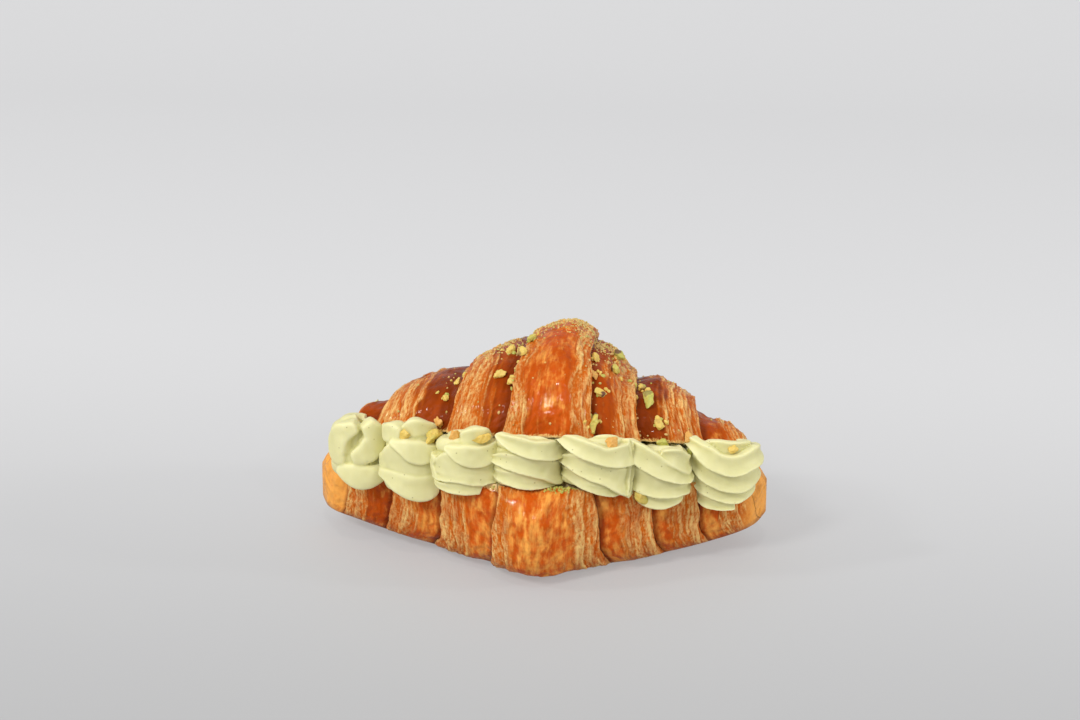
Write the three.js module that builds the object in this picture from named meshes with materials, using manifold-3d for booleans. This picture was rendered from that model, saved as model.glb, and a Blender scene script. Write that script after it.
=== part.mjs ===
// A butter croissant sliced like a book, filled with piped pistachio cream and scattered with chopped pistachios.
// Millimetres. X runs along the croissant, -Y is the open front, +Z is up, and the origin is at the foot's centre.
import * as THREE from "three";
import { mergeVertices } from "three/addons/utils/BufferGeometryUtils.js";
import Module from "manifold-3d";

const wasm = await Module();
wasm.setup();

// ---------------------------------------------------------------- driving dimensions
const CLEARANCE = 0.35; // left between two pieces that touch

// The lower half, station by station: half width, height of the cut, height of the underside.
const BASE_STATIONS = [
  { x: -79, half: 0, cut: 19.5, foot: 10 },
  { x: -76, half: 8.5, cut: 24, foot: 7.2 },
  { x: -67, half: 14.5, cut: 27, foot: 6 },
  { x: -46, half: 25.5, cut: 29.5, foot: 2.8 },
  { x: -22, half: 38, cut: 32, foot: 0.3 },
  { x: -12, half: 46, cut: 32.2, foot: 0 },
  { x: -4, half: 51.5, cut: 32.2, foot: 0 },
  { x: 4, half: 54.5, cut: 32.2, foot: 0 },
  { x: 12, half: 49, cut: 32.2, foot: 0 },
  { x: 20, half: 42.5, cut: 32.2, foot: 0 },
  { x: 30, half: 36.5, cut: 32, foot: 0.4 },
  { x: 49, half: 24.5, cut: 30, foot: 3 },
  { x: 66, half: 15.5, cut: 28, foot: 7 },
  { x: 73, half: 9.5, cut: 25.5, foot: 9 },
  { x: 76.5, half: 0, cut: 21, foot: 12 },
];

// The upper half about its own cut: half width, height of the crown, and how far the cut droops.
const LID_STATIONS = [
  { x: -69.5, half: 0, crown: 0, droop: -6 },
  { x: -67, half: 7, crown: 6, droop: -5 },
  { x: -61, half: 12, crown: 7.5, droop: -4 },
  { x: -56, half: 15.5, crown: 10, droop: -3.4 },
  { x: -50, half: 19.5, crown: 14, droop: -3 },
  { x: -40, half: 25, crown: 17.3, droop: -2.5 },
  { x: -31, half: 30, crown: 20, droop: -2 },
  { x: -17, half: 36.5, crown: 27.2, droop: -1.5 },
  { x: -5, half: 40.5, crown: 31.5, droop: -0.5 },
  { x: 5, half: 42, crown: 34.2, droop: 0 },
  { x: 10, half: 41.5, crown: 32.5, droop: -0.2 },
  { x: 15, half: 40, crown: 29.2, droop: -0.5 },
  { x: 20, half: 37.5, crown: 25, droop: -0.9 },
  { x: 26, half: 34, crown: 19, droop: -1.4 },
  { x: 34, half: 29.5, crown: 18.6, droop: -2 },
  { x: 40, half: 26, crown: 16, droop: -2.5 },
  { x: 47, half: 21, crown: 12.5, droop: -3.3 },
  { x: 53, half: 16.5, crown: 7, droop: -4.3 },
  { x: 58, half: 13, crown: 6.8, droop: -5.3 },
  { x: 64.5, half: 8, crown: 4.5, droop: -7 },
  { x: 68.5, half: 0, crown: 0, droop: -9 },
];

const HINGE = { y: 42, z: 33.4 }; // the back edge that the upper half leans on
const LID_TILT = THREE.MathUtils.degToRad(10.8);
const LID_SHIFT_X = 3;

// The dough is a rolled triangle. spread is how fast the middle wrap widens per turn of the roll, and left
// and right are the widths of the wraps beyond it. The lid has slid a little on its filling.
const BASE_WRAPS = { middle: 6, spread: 22.5, left: [20.5, 18.5, 17, 20], right: [17, 14.5, 17, 20] };
const LID_WRAPS = { middle: 3.2, spread: 22, left: [20.7, 28, 20, 20], right: [14.8, 21, 20, 20] };
const WRAP_VALLEY = -1.6; // depth of the groove where a wrap comes out from under the one above it
const WRAP_CREST = 0.8; // height of a wrap's layered outer edge
const RIM_REACH = 41; // the base's cut never reaches further than this from the middle line

const COLUMNS = 60; // rings along the croissant
const SKIN_POINTS = 20; // points of a ring on the crust
const CUT_POINTS = 4; // points of a ring on the cut face, between the edges

// Piped star-tip rosettes in the opening, from the left tip round the front to the right tip.
// foot and top are heights above the table; the upper half flattens the ones under it.
const ROSETTES = [
  { name: "cream_rosette_left_end", x: -58, y: 9, radius: 9.2, foot: 22, top: 42 },
  { name: "cream_rosette_1", x: -61.5, y: -12, radius: 11.2, foot: 20, top: 46 },
  { name: "cream_rosette_2", x: -42.4, y: -21.5, radius: 10.9, foot: 21, top: 47 },
  { name: "cream_rosette_3", x: -21.8, y: -28.5, radius: 11.6, foot: 26, top: 52 },
  { name: "cream_rosette_4", x: -1.6, y: -32.5, radius: 12, foot: 29.5, top: 54 },
  { name: "cream_rosette_5", x: 21.5, y: -30.5, radius: 12, foot: 28, top: 53 },
  { name: "cream_rosette_6", x: 41.8, y: -21.5, radius: 11.6, foot: 22, top: 49 },
  { name: "cream_rosette_7", x: 62.3, y: -11, radius: 12, foot: 18, top: 43 },
  { name: "cream_rosette_right_end", x: 57, y: 10, radius: 9.2, foot: 22, top: 40 },
];
const ROSETTE_LOBES = 6;
const ROSETTE_TWIST = 1.9; // radians a lobe turns between foot and top
const LOBE_DEPTH = 0.07; // of the radius
// Radius up a rosette as a share of its widest: two coils of rope, then the tail where the bag was pulled away.
const ROSETTE_PROFILE = [
  [0, 0.78],
  [0.08, 0.95],
  [0.24, 1],
  [0.42, 0.88],
  [0.52, 0.9],
  [0.68, 0.92],
  [0.84, 0.66],
  [0.95, 0.32],
];

// The bed of cream behind the rosettes: half length, distance in from the crusts' back, gap to the cut faces.
const FILLING = { reach: 50, setIn: 4, behind: 3, clear: 0.45 };

// Chopped pistachio on the upper half: x and share place it on the crust, size is length, width, thickness.
const LID_NUTS = [
  { x: -15, share: 0.24, size: [4.4, 3, 2.2], heading: 20 },
  { x: -10.5, share: 0.2, size: [4.8, 3.2, 2.2], heading: -35 },
  { x: -13, share: 0.38, size: [4.2, 3.2, 2.4], heading: 60 },
  { x: -8, share: 0.31, size: [4.4, 3.6, 2.4], heading: 80 },
  { x: -6.5, share: 0.39, size: [3.8, 2.6, 2], heading: 10 },
  { x: -32, share: 0.33, size: [3, 2.4, 1.8], heading: 40 },
  { x: -34.5, share: 0.21, size: [2.8, 2.2, 1.8], heading: -20 },
  { x: 16, share: 0.36, size: [6.2, 3.6, 2.6], heading: 80 },
  { x: 16.5, share: 0.26, size: [4.8, 3.8, 2.6], heading: 25 },
  { x: 19, share: 0.19, size: [4.4, 2.8, 2], heading: 5 },
  { x: 21, share: 0.47, size: [4.6, 4.2, 3], heading: 50 },
  { x: 21.5, share: 0.35, size: [3.2, 2.6, 2], heading: 0 },
  { x: 31, share: 0.36, size: [3.4, 2.6, 2], heading: 70 },
  { x: 34, share: 0.25, size: [7.4, 4, 3], heading: 78 },
  { x: 17.5, share: 0.06, size: [7.2, 3, 2], heading: 86 },
  { x: 38, share: 0.1, size: [5.2, 3, 2.2], heading: 0 },
  { x: 47, share: 0.04, size: [6, 3.6, 2], heading: -30 },
  { x: -36, share: 0.05, size: [4.2, 3.2, 2], heading: -25 },
];
// Chopped pistachio pressed into the cream: bearing is degrees round the rosette from +X, z its middle's height.
const CREAM_NUTS = [
  { rosette: 2, bearing: 275, z: 42.5, size: [4.6, 4, 3], heading: 40 },
  { rosette: 2, bearing: 332, z: 41, size: [8.2, 4.6, 3.4], heading: 10 },
  { rosette: 3, bearing: 254, z: 46.5, size: [4.4, 3.4, 2.4], heading: 70 },
  { rosette: 3, bearing: 314, z: 45.5, size: [7.6, 3.6, 3], heading: 5 },
  { rosette: 5, bearing: 302, z: 47, size: [4.6, 4.2, 2.8], heading: 60 },
  { rosette: 6, bearing: 242, z: 27.5, size: [5.6, 5, 3.2], heading: 20 },
  { rosette: 6, bearing: 278, z: 47, size: [5, 3.6, 2.6], heading: 15 },
  { rosette: 7, bearing: 200, z: 36, size: [3.6, 3, 2.2], heading: 50 },
  { rosette: 7, bearing: 296, z: 39.5, size: [4, 3, 2.2], heading: 20 },
];

const MATERIALS = {
  crust: new THREE.MeshStandardMaterial({ color: 0xd2752f, roughness: 0.35, metalness: 0 }),
  cream: new THREE.MeshStandardMaterial({ color: 0xe0d9a4, roughness: 0.5, metalness: 0 }),
  pistachio: new THREE.MeshStandardMaterial({ color: 0xc2a545, roughness: 0.6, metalness: 0 }),
};

// ---------------------------------------------------------------- curves through stations
const { smoothstep, lerp, clamp } = THREE.MathUtils;

// Monotone cubic interpolation of one field of a station list, so the outline never overshoots a station.
// A rounded field is interpolated as its square, which closes the tips with a round nose.
function stationCurve(stations, field, rounded = false) {
  const xs = stations.map((s) => s.x);
  const ys = stations.map((s) => (rounded ? s[field] ** 2 : s[field]));
  const slopes = xs.slice(1).map((x, i) => (ys[i + 1] - ys[i]) / (x - xs[i]));
  const tangents = ys.map((_, i) => {
    if (i === 0) return slopes[0];
    if (i === ys.length - 1) return slopes[i - 1];
    const product = slopes[i - 1] * slopes[i];
    return product > 0 ? (2 * product) / (slopes[i - 1] + slopes[i]) : 0;
  });
  return (x) => {
    const found = xs.findIndex((s) => s > x);
    const i = found < 0 ? xs.length - 2 : Math.max(0, found - 1);
    const h = xs[i + 1] - xs[i];
    const t = clamp((x - xs[i]) / h, 0, 1);
    const keep = (1 + 2 * t) * (1 - t) ** 2;
    const bend = t * (1 - t) * h * ((1 - t) * tangents[i] - t * tangents[i + 1]);
    const value = keep * ys[i] + (1 - keep) * ys[i + 1] + bend;
    return rounded ? Math.sqrt(Math.max(0, value)) : value;
  };
}

const baseHalf = stationCurve(BASE_STATIONS, "half", true);
const baseCut = stationCurve(BASE_STATIONS, "cut");
const baseFoot = stationCurve(BASE_STATIONS, "foot");
const lidHalf = stationCurve(LID_STATIONS, "half", true);
const lidCrown = stationCurve(LID_STATIONS, "crown", true);
const lidDroop = stationCurve(LID_STATIONS, "droop");

// ---------------------------------------------------------------- the relief of the rolled dough
// turn counts the roll from the triangle's point, tucked in low at the back, over the top and down the front.
// A wrap rises from the groove beside the wrap above it to its own layered edge, then drops to the next groove.
function wrapRelief(wraps, x, turn) {
  const away = Math.abs(x - wraps.middle);
  const past = away - wraps.spread * turn;
  let share = past < 0 ? away / (wraps.spread * turn) : past;
  let rise = smoothstep(turn, 0, 0.3);
  if (past >= 0) {
    const widths = x < wraps.middle ? wraps.left : wraps.right;
    let wrap = 0;
    while (wrap < widths.length - 1 && share > widths[wrap]) share -= widths[wrap++];
    share = Math.min(1, share / widths[wrap]);
    rise = smoothstep(share, 0, 0.45);
  }
  const drop = smoothstep(share, 0.86, 1);
  return lerp(WRAP_VALLEY, WRAP_CREST, rise * (1 - drop));
}

// ---------------------------------------------------------------- sections of the two halves
const power = (value, exponent) => Math.sign(value) * Math.abs(value) ** exponent;

const BASE_EQUATOR = 0.62; // the widest level, as a share of the height from foot to cut
const BASE_RIM_SHARE = 0.14; // the part of the crust that is above the widest level, at each side
const BASE_SQUARENESS = 2 / 3.8; // below 1 makes the lower corners fuller
const BACK_BULGE = 0.5; // the back swells past its rim by this share of what the front does
const LID_SQUARENESS = 2 / 2.2;

const baseRim = (x) => Math.min(0.95 * baseHalf(x), RIM_REACH);

// A point on the lower half's crust. share runs 0..1 from the cut's front edge, under the foot, to its back edge.
function basePoint(x, share) {
  const [half, cut, foot] = [baseHalf(x), baseCut(x), baseFoot(x)];
  const equator = foot + (cut - foot) * BASE_EQUATOR;
  const side = share < 0.5 ? -1 : 1;
  const rim = baseRim(x);
  const reach = share < 0.5 ? half : lerp(rim, half, BACK_BULGE);
  const fromRim = Math.min(share, 1 - share) / BASE_RIM_SHARE;
  if (fromRim < 1) {
    const climb = ((1 - fromRim) * Math.PI) / 2;
    return {
      y: side * (rim + (reach - rim) * Math.cos(climb)),
      z: equator + (cut - equator) * Math.sin(climb),
      foot,
    };
  }
  const angle = ((share - BASE_RIM_SHARE) / (1 - 2 * BASE_RIM_SHARE)) * Math.PI;
  const z = equator - (equator - foot + 1) * power(Math.sin(angle), BASE_SQUARENESS);
  return { y: -reach * power(Math.cos(angle), BASE_SQUARENESS), z: Math.max(z, foot), foot };
}

// A point on the upper half's crust in its own frame, whose z is 0 on the cut at the middle.
function lidPoint(x, share) {
  const angle = share * Math.PI;
  return {
    y: -lidHalf(x) * power(Math.cos(angle), LID_SQUARENESS),
    z: lidDroop(x) + lidCrown(x) * power(Math.sin(angle), LID_SQUARENESS),
    foot: -Infinity,
  };
}

const baseTurn = (share) => {
  const turn = 0.72 + 0.5 * share;
  return turn > 1 ? turn - 1 : turn;
};
const lidTurn = (share) => 0.72 - 0.5 * share;

// A closed half croissant: rings of crust and cut face, with a pole at each tip. grow swells it evenly.
function halfCroissant(stations, wraps, point, turnOf, cutHeight, grow = 0) {
  const first = stations[0].x - grow;
  const last = stations[stations.length - 1].x + grow;
  const ringPoints = SKIN_POINTS + 1 + CUT_POINTS;
  const positions = [];
  for (let i = 1; i < COLUMNS; i++) {
    const even = i / COLUMNS;
    const crowded = (1 - Math.cos(Math.PI * even)) / 2; // closer together towards the tips
    const x = lerp(first, last, (even + crowded) / 2);
    const inner = clamp(x, stations[0].x + 0.3, stations[stations.length - 1].x - 0.3);
    const skin = [];
    for (let j = 0; j <= SKIN_POINTS; j++) {
      const share = j / SKIN_POINTS;
      const here = point(inner, share);
      const before = point(inner, Math.max(0, share - 0.02));
      const after = point(inner, Math.min(1, share + 0.02));
      const tangent = new THREE.Vector2(after.y - before.y, after.z - before.z).normalize();
      const outward = new THREE.Vector2(tangent.y, -tangent.x);
      if (point === lidPoint) outward.negate();
      const lift = smoothstep(here.z - here.foot, 0, 4) * smoothstep(Math.abs(point(inner, 0).y), 1, 10);
      const push = grow + lift * wrapRelief(wraps, inner, turnOf(share));
      skin.push([x, here.y + outward.x * push, here.z + outward.y * push]);
    }
    const cut = cutHeight(inner) + (point === lidPoint ? -grow : grow);
    skin[0][2] = cut;
    skin[SKIN_POINTS][2] = cut;
    const [front, back] = [skin[0][1], skin[SKIN_POINTS][1]];
    const face = Array.from({ length: CUT_POINTS }, (_, k) => [
      x,
      back + ((front - back) * (k + 1)) / (CUT_POINTS + 1),
      cut,
    ]);
    positions.push(...skin, ...face);
  }
  const triangles = [];
  const rings = COLUMNS - 1;
  const outwards = point === lidPoint;
  const add = (a, b, c) => triangles.push(...(outwards ? [a, c, b] : [a, b, c]));
  for (let i = 0; i < rings - 1; i++)
    for (let j = 0; j < ringPoints; j++) {
      const [a, b] = [i * ringPoints + j, i * ringPoints + ((j + 1) % ringPoints)];
      add(a, b, b + ringPoints);
      add(a, b + ringPoints, a + ringPoints);
    }
  const poleHeight = (x) => (point(x, 0.5).z + cutHeight(x)) / 2;
  const ends = [
    [first, 0, poleHeight(stations[0].x)],
    [last, 0, poleHeight(stations[stations.length - 1].x)],
  ];
  const [left, right] = [positions.push(ends[0]) - 1, positions.push(ends[1]) - 1];
  for (let j = 0; j < ringPoints; j++) {
    const next = (j + 1) % ringPoints;
    add(left, next, j);
    add(right, (rings - 1) * ringPoints + j, (rings - 1) * ringPoints + next);
  }
  return new THREE.BufferGeometry()
    .setAttribute("position", new THREE.Float32BufferAttribute(positions.flat(), 3))
    .setIndex(triangles);
}

const makeBase = (grow) => halfCroissant(BASE_STATIONS, BASE_WRAPS, basePoint, baseTurn, baseCut, grow);
const makeLid = (grow) => halfCroissant(LID_STATIONS, LID_WRAPS, lidPoint, lidTurn, lidDroop, grow);

// The upper half leans back on its hinge edge.
const lidFrame = new THREE.Matrix4()
  .makeTranslation(LID_SHIFT_X, HINGE.y, HINGE.z)
  .multiply(new THREE.Matrix4().makeRotationX(-LID_TILT))
  .multiply(new THREE.Matrix4().makeTranslation(0, -HINGE.y, 0));

// The height of the upper half's cut face over a point of the table.
function lidUnderside(x, y) {
  const local = HINGE.y + (y - HINGE.y) / Math.cos(LID_TILT);
  return HINGE.z + lidDroop(x - LID_SHIFT_X) * Math.cos(LID_TILT) - (local - HINGE.y) * Math.sin(LID_TILT);
}

// ---------------------------------------------------------------- cream and nuts
// Piles rings of points into a closed body, with a flat fan at the foot and the head.
function pileRings(rings) {
  const count = rings[0].length;
  const centre = (ring) =>
    ring.reduce((sum, p) => sum.map((s, i) => s + p[i] / ring.length), [0, 0, 0]);
  const positions = [...rings.flat(), centre(rings[0]), centre(rings[rings.length - 1])];
  const triangles = [];
  for (let i = 0; i < rings.length - 1; i++)
    for (let j = 0; j < count; j++) {
      const [a, b] = [i * count + j, i * count + ((j + 1) % count)];
      triangles.push(a, b, b + count, a, b + count, a + count);
    }
  const [low, high] = [positions.length - 2, positions.length - 1];
  const lastRing = (rings.length - 1) * count;
  for (let j = 0; j < count; j++) {
    const next = (j + 1) % count;
    triangles.push(low, next, j, high, lastRing + j, lastRing + next);
  }
  return new THREE.BufferGeometry()
    .setAttribute("position", new THREE.Float32BufferAttribute(positions.flat(), 3))
    .setIndex(triangles);
}

function makeRosette({ x, y, radius, foot, top }, grow = 0) {
  const segments = ROSETTE_LOBES * 4;
  const rings = ROSETTE_PROFILE.map(([level, share], i) =>
    Array.from({ length: segments }, (_, k) => {
      const bearing = (k / segments) * 2 * Math.PI;
      const lobe = 1 + LOBE_DEPTH * Math.cos(ROSETTE_LOBES * (bearing - ROSETTE_TWIST * level));
      const reach = radius * share * lobe + grow;
      const end = i === 0 ? -grow : i === ROSETTE_PROFILE.length - 1 ? grow : 0;
      return [x + reach * Math.cos(bearing), y + reach * Math.sin(bearing), lerp(foot, top, level) + end];
    }),
  );
  return pileRings(rings);
}

// How far a rosette reaches from its axis at a height above the table, before its lobes.
function rosetteReach({ radius, foot, top }, z) {
  const level = clamp((z - foot) / (top - foot), 0, 0.94);
  const i = ROSETTE_PROFILE.findIndex(([end]) => end > level);
  const [[low, inner], [high, outer]] = [ROSETTE_PROFILE[i - 1], ROSETTE_PROFILE[i]];
  return radius * lerp(inner, outer, (level - low) / (high - low));
}

// A wedge of cream behind the rosettes, with its rim set in from both crusts.
function makeFilling() {
  const stations = 20;
  const rings = Array.from({ length: stations + 1 }, (_, i) => {
    const x = lerp(-FILLING.reach, FILLING.reach, i / stations);
    const front = -31 + 11 * (Math.abs(x) / 42) ** 1.4 + FILLING.behind;
    const back = Math.min(baseRim(x), lidHalf(x - LID_SHIFT_X)) - FILLING.setIn;
    const across = Array.from({ length: 6 }, (_, k) => lerp(front, back, k / 5));
    const floor = across.map((y) => [x, y, baseCut(x) + FILLING.clear]);
    const roof = across.map((y) => [x, y, lidUnderside(x, y) - FILLING.clear]).reverse();
    return [...floor, ...roof];
  });
  return pileRings(rings);
}

// A repeatable stream of numbers between 0 and 1.
function seededRandom(seed) {
  let state = seed;
  return () => {
    state = (state * 1664525 + 1013904223) % 4294967296;
    return state / 4294967296;
  };
}

// A chopped kernel: a rough faceted lump, laid on the plane across outward with its length along the heading.
function makeNut({ size, heading }, centre, outward, along, seed) {
  const random = seededRandom(seed);
  const nut = mergeVertices(new THREE.IcosahedronGeometry(0.5).deleteAttribute("normal").deleteAttribute("uv"));
  const position = nut.attributes.position;
  for (let i = 0; i < position.count; i++) {
    const jitter = 0.95 + 0.3 * random();
    position.setXYZ(
      i,
      position.getX(i) * jitter * size[0],
      position.getY(i) * jitter * size[1],
      position.getZ(i) * jitter * size[2],
    );
  }
  const length = along
    .clone()
    .addScaledVector(outward, -along.dot(outward))
    .normalize()
    .applyAxisAngle(outward, THREE.MathUtils.degToRad(heading));
  const width = outward.clone().cross(length);
  return nut.applyMatrix4(new THREE.Matrix4().makeBasis(length, width, outward).setPosition(centre));
}

// Where a nut lies on the upper half, in the upper half's own frame.
function makeLidNut(nut, seed) {
  const on = (x, share) => {
    const { y, z } = lidPoint(x, share);
    return new THREE.Vector3(x, y, z);
  };
  const at = on(nut.x, nut.share);
  const along = on(nut.x + 1, nut.share).sub(on(nut.x - 1, nut.share)).normalize();
  const over = on(nut.x, nut.share + 0.01).sub(on(nut.x, nut.share - 0.01)).normalize();
  const outward = along.clone().cross(over).normalize();
  const lift = wrapRelief(LID_WRAPS, nut.x, lidTurn(nut.share)) + 0.36 * nut.size[2];
  return makeNut(nut, at.addScaledVector(outward, lift), outward, along, seed);
}

function makeCreamNut(nut, seed) {
  const { x, y } = ROSETTES[nut.rosette];
  const bearing = THREE.MathUtils.degToRad(nut.bearing);
  const outward = new THREE.Vector3(Math.cos(bearing), Math.sin(bearing), 0);
  const centre = new THREE.Vector3(x, y, nut.z).addScaledVector(
    outward,
    rosetteReach(ROSETTES[nut.rosette], nut.z) + 0.3 * nut.size[2],
  );
  const along = new THREE.Vector3(-Math.sin(bearing), Math.cos(bearing), 0);
  return makeNut(nut, centre, outward, along, seed);
}

// ---------------------------------------------------------------- cutting and joining
function toSolid(geometry) {
  const bare = geometry.clone();
  bare.deleteAttribute("normal");
  bare.deleteAttribute("uv");
  const merged = mergeVertices(bare, 1e-4);
  return new wasm.Manifold(
    new wasm.Mesh({
      numProp: 3,
      vertProperties: new Float32Array(merged.attributes.position.array),
      triVerts: new Uint32Array(merged.index.array),
    }),
  );
}

// The largest body that a cut leaves, as a three.js geometry.
function toGeometry(solid) {
  const bodies = solid.decompose().sort((a, b) => b.volume() - a.volume());
  const mesh = bodies[0].getMesh();
  const positions = [];
  for (let i = 0; i < mesh.numVert; i++)
    positions.push(...mesh.vertProperties.subarray(i * mesh.numProp, i * mesh.numProp + 3));
  return new THREE.BufferGeometry()
    .setAttribute("position", new THREE.Float32BufferAttribute(positions, 3))
    .setIndex([...mesh.triVerts]);
}

const cutAway = (solid, others) => others.reduce((left, other) => left.subtract(other), solid);

// Cuts a rosette back to half the clearance short of the plane midway to its neighbour.
function trimTowards(solid, from, to) {
  const way = new THREE.Vector3(from.x - to.x, from.y - to.y, 0);
  const middle = new THREE.Vector3(from.x + to.x, from.y + to.y, 0).divideScalar(2);
  way.normalize();
  return solid.trimByPlane(way.toArray(), middle.dot(way) + CLEARANCE / 2);
}

// ---------------------------------------------------------------- the object
const croissant = new THREE.Group();

function add(name, geometry, material, parent = croissant) {
  const mesh = new THREE.Mesh(geometry, material);
  mesh.name = name;
  parent.add(mesh);
  return mesh;
}

add("croissant_base", makeBase(0), MATERIALS.crust);
const lid = new THREE.Group();
lid.matrixAutoUpdate = false;
lid.matrix.copy(lidFrame);
croissant.add(lid);
add("croissant_lid", makeLid(0), MATERIALS.crust, lid);

const lidRoom = toSolid(makeLid(CLEARANCE));
const crustRoom = [toSolid(makeBase(CLEARANCE)), toSolid(makeLid(CLEARANCE).applyMatrix4(lidFrame))];
const creamRoom = ROSETTES.map((rosette) => toSolid(makeRosette(rosette, CLEARANCE)));

ROSETTES.forEach((rosette, i) => {
  const neighbours = [ROSETTES[i - 1], ROSETTES[i + 1]].filter(Boolean);
  const trimmed = neighbours.reduce(
    (solid, neighbour) => trimTowards(solid, rosette, neighbour),
    toSolid(makeRosette(rosette)),
  );
  add(rosette.name, toGeometry(cutAway(trimmed, crustRoom)), MATERIALS.cream);
});
add("cream_filling", toGeometry(cutAway(toSolid(makeFilling()), creamRoom)), MATERIALS.cream);

LID_NUTS.forEach((nut, i) => {
  const shape = toGeometry(toSolid(makeLidNut(nut, 11 + i)).subtract(lidRoom));
  add(`pistachio_lid_${i + 1}`, shape, MATERIALS.pistachio, lid);
});
CREAM_NUTS.forEach((nut, i) => {
  const shape = toGeometry(cutAway(toSolid(makeCreamNut(nut, 71 + i)), [...crustRoom, ...creamRoom]));
  add(`pistachio_cream_${i + 1}`, shape, MATERIALS.pistachio);
});

// The origin goes under the middle of the bounding box, on the table.
croissant.updateMatrixWorld(true);
const bounds = new THREE.Box3().setFromObject(croissant, true);
croissant.position.copy(bounds.getCenter(new THREE.Vector3()).negate().setZ(-bounds.min.z));
export default croissant;
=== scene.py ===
# %% [markdown]
# # A filled croissant
# A butter croissant sliced through, with piped pistachio cream in the opening and chopped pistachios on the
# crust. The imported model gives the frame: where each half, each rosette and each nut is. Everything seen here
# is built around it, in metres, in the same place.

# %% Load the frame
import itertools
import math

import bmesh
import bpy
import numpy as np
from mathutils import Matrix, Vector
from mathutils.bvhtree import BVHTree


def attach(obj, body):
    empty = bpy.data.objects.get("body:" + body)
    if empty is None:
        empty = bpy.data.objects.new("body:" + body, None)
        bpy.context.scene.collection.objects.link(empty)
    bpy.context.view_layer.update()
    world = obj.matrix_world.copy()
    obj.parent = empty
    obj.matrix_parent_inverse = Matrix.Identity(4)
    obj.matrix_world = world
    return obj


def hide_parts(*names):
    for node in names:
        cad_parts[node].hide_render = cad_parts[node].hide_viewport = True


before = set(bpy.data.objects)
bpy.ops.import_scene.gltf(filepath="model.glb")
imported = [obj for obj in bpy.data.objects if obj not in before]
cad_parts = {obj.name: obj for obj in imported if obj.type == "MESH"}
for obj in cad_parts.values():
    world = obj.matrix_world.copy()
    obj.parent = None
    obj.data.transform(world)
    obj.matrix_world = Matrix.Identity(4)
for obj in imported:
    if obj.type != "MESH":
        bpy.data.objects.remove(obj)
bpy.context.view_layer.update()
MM = 0.001

# %% [markdown]
# ## Helpers
# The dough is worked out in millimetres on numpy arrays, because half a million points are shaped by the same
# few rules. A smooth random field stands for everything that an oven does unevenly.


# %% Small maths
def smoothstep(low, high, value):
    """0 below low, 1 above high, and an S-shaped rise between."""
    t = np.clip((value - low) / (high - low), 0, 1)
    return t * t * (3 - 2 * t)


def mix(a, b, t):
    return a + (b - a) * t


def noise(points, seed=0):
    """A smooth random field from -1 to 1 that changes about once per unit, at N points."""
    cell = np.floor(points).astype(np.int64)
    part = points - cell
    part = part * part * (3 - 2 * part)
    total = np.zeros(len(points))
    for corner in itertools.product((0, 1), repeat=3):
        key = cell + corner
        mixed = key[:, 0] * 73856093 ^ key[:, 1] * 19349663 ^ key[:, 2] * 83492791 ^ (seed + 1) * 40503
        mixed = ((mixed & 0xFFFFFFFF) ^ (mixed & 0xFFFFFFFF) >> 15) * 739982445 & 0xFFFFFFFF
        mixed = (mixed ^ mixed >> 12) * 695872825 & 0xFFFFFFFF
        mixed = mixed ^ mixed >> 15
        weight = np.prod(np.where(corner, part, 1 - part), axis=1)
        total += weight * (mixed / 0x7FFFFFFF - 1)
    return total


def rough_noise(points, octaves=3, seed=0):
    """Noise with finer and weaker copies of itself on top."""
    total = np.zeros(len(points))
    for k in range(octaves):
        total += noise(points * 2.03**k, seed + 17 * k) / 2**k
    return total


def station_curve(stations, column, rounded=False):
    """A curve through one column of a station list. Rounded closes the tips with a round nose."""
    x = stations[:, 0]
    y = stations[:, column] ** 2 if rounded else stations[:, column]
    slope = np.diff(y) / np.diff(x)
    product = slope[:-1] * slope[1:]
    both = slope[:-1] + slope[1:]
    inner = np.where(product > 0, 2 * product / np.where(product > 0, both, 1), 0)
    tangent = np.concatenate([slope[:1], inner, slope[-1:]])

    def at(where):
        i = np.clip(np.searchsorted(x, where, side="right") - 1, 0, len(x) - 2)
        width = x[i + 1] - x[i]
        t = np.clip((where - x[i]) / width, 0, 1)
        keep = (1 + 2 * t) * (1 - t) ** 2
        bend = t * (1 - t) * width * ((1 - t) * tangent[i] - t * tangent[i + 1])
        value = keep * y[i] + (1 - keep) * y[i + 1] + bend
        return np.sqrt(np.maximum(value, 0)) if rounded else value

    return at


# %% [markdown]
# ## The dough's outline
# Each half is a row of sections along the croissant. The lower half has a flat foot where it baked on the
# tray, full lower corners and a rim that turns in towards the knife cut. The upper half is a low dome. The
# numbers are the frame's own driving dimensions.

# %% Stations of the two halves, in millimetres
# x, half width, height of the cut, height of the underside
BASE_STATIONS = np.array(
    [
        (-79, 0, 19.5, 10),
        (-76, 8.5, 24, 7.2),
        (-67, 14.5, 27, 6),
        (-46, 25.5, 29.5, 2.8),
        (-22, 38, 32, 0.3),
        (-12, 46, 32.2, 0),
        (-4, 51.5, 32.2, 0),
        (4, 54.5, 32.2, 0),
        (12, 49, 32.2, 0),
        (20, 42.5, 32.2, 0),
        (30, 36.5, 32, 0.4),
        (49, 24.5, 30, 3),
        (66, 15.5, 28, 7),
        (73, 9.5, 25.5, 9),
        (76.5, 0, 21, 12),
    ]
)
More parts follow.
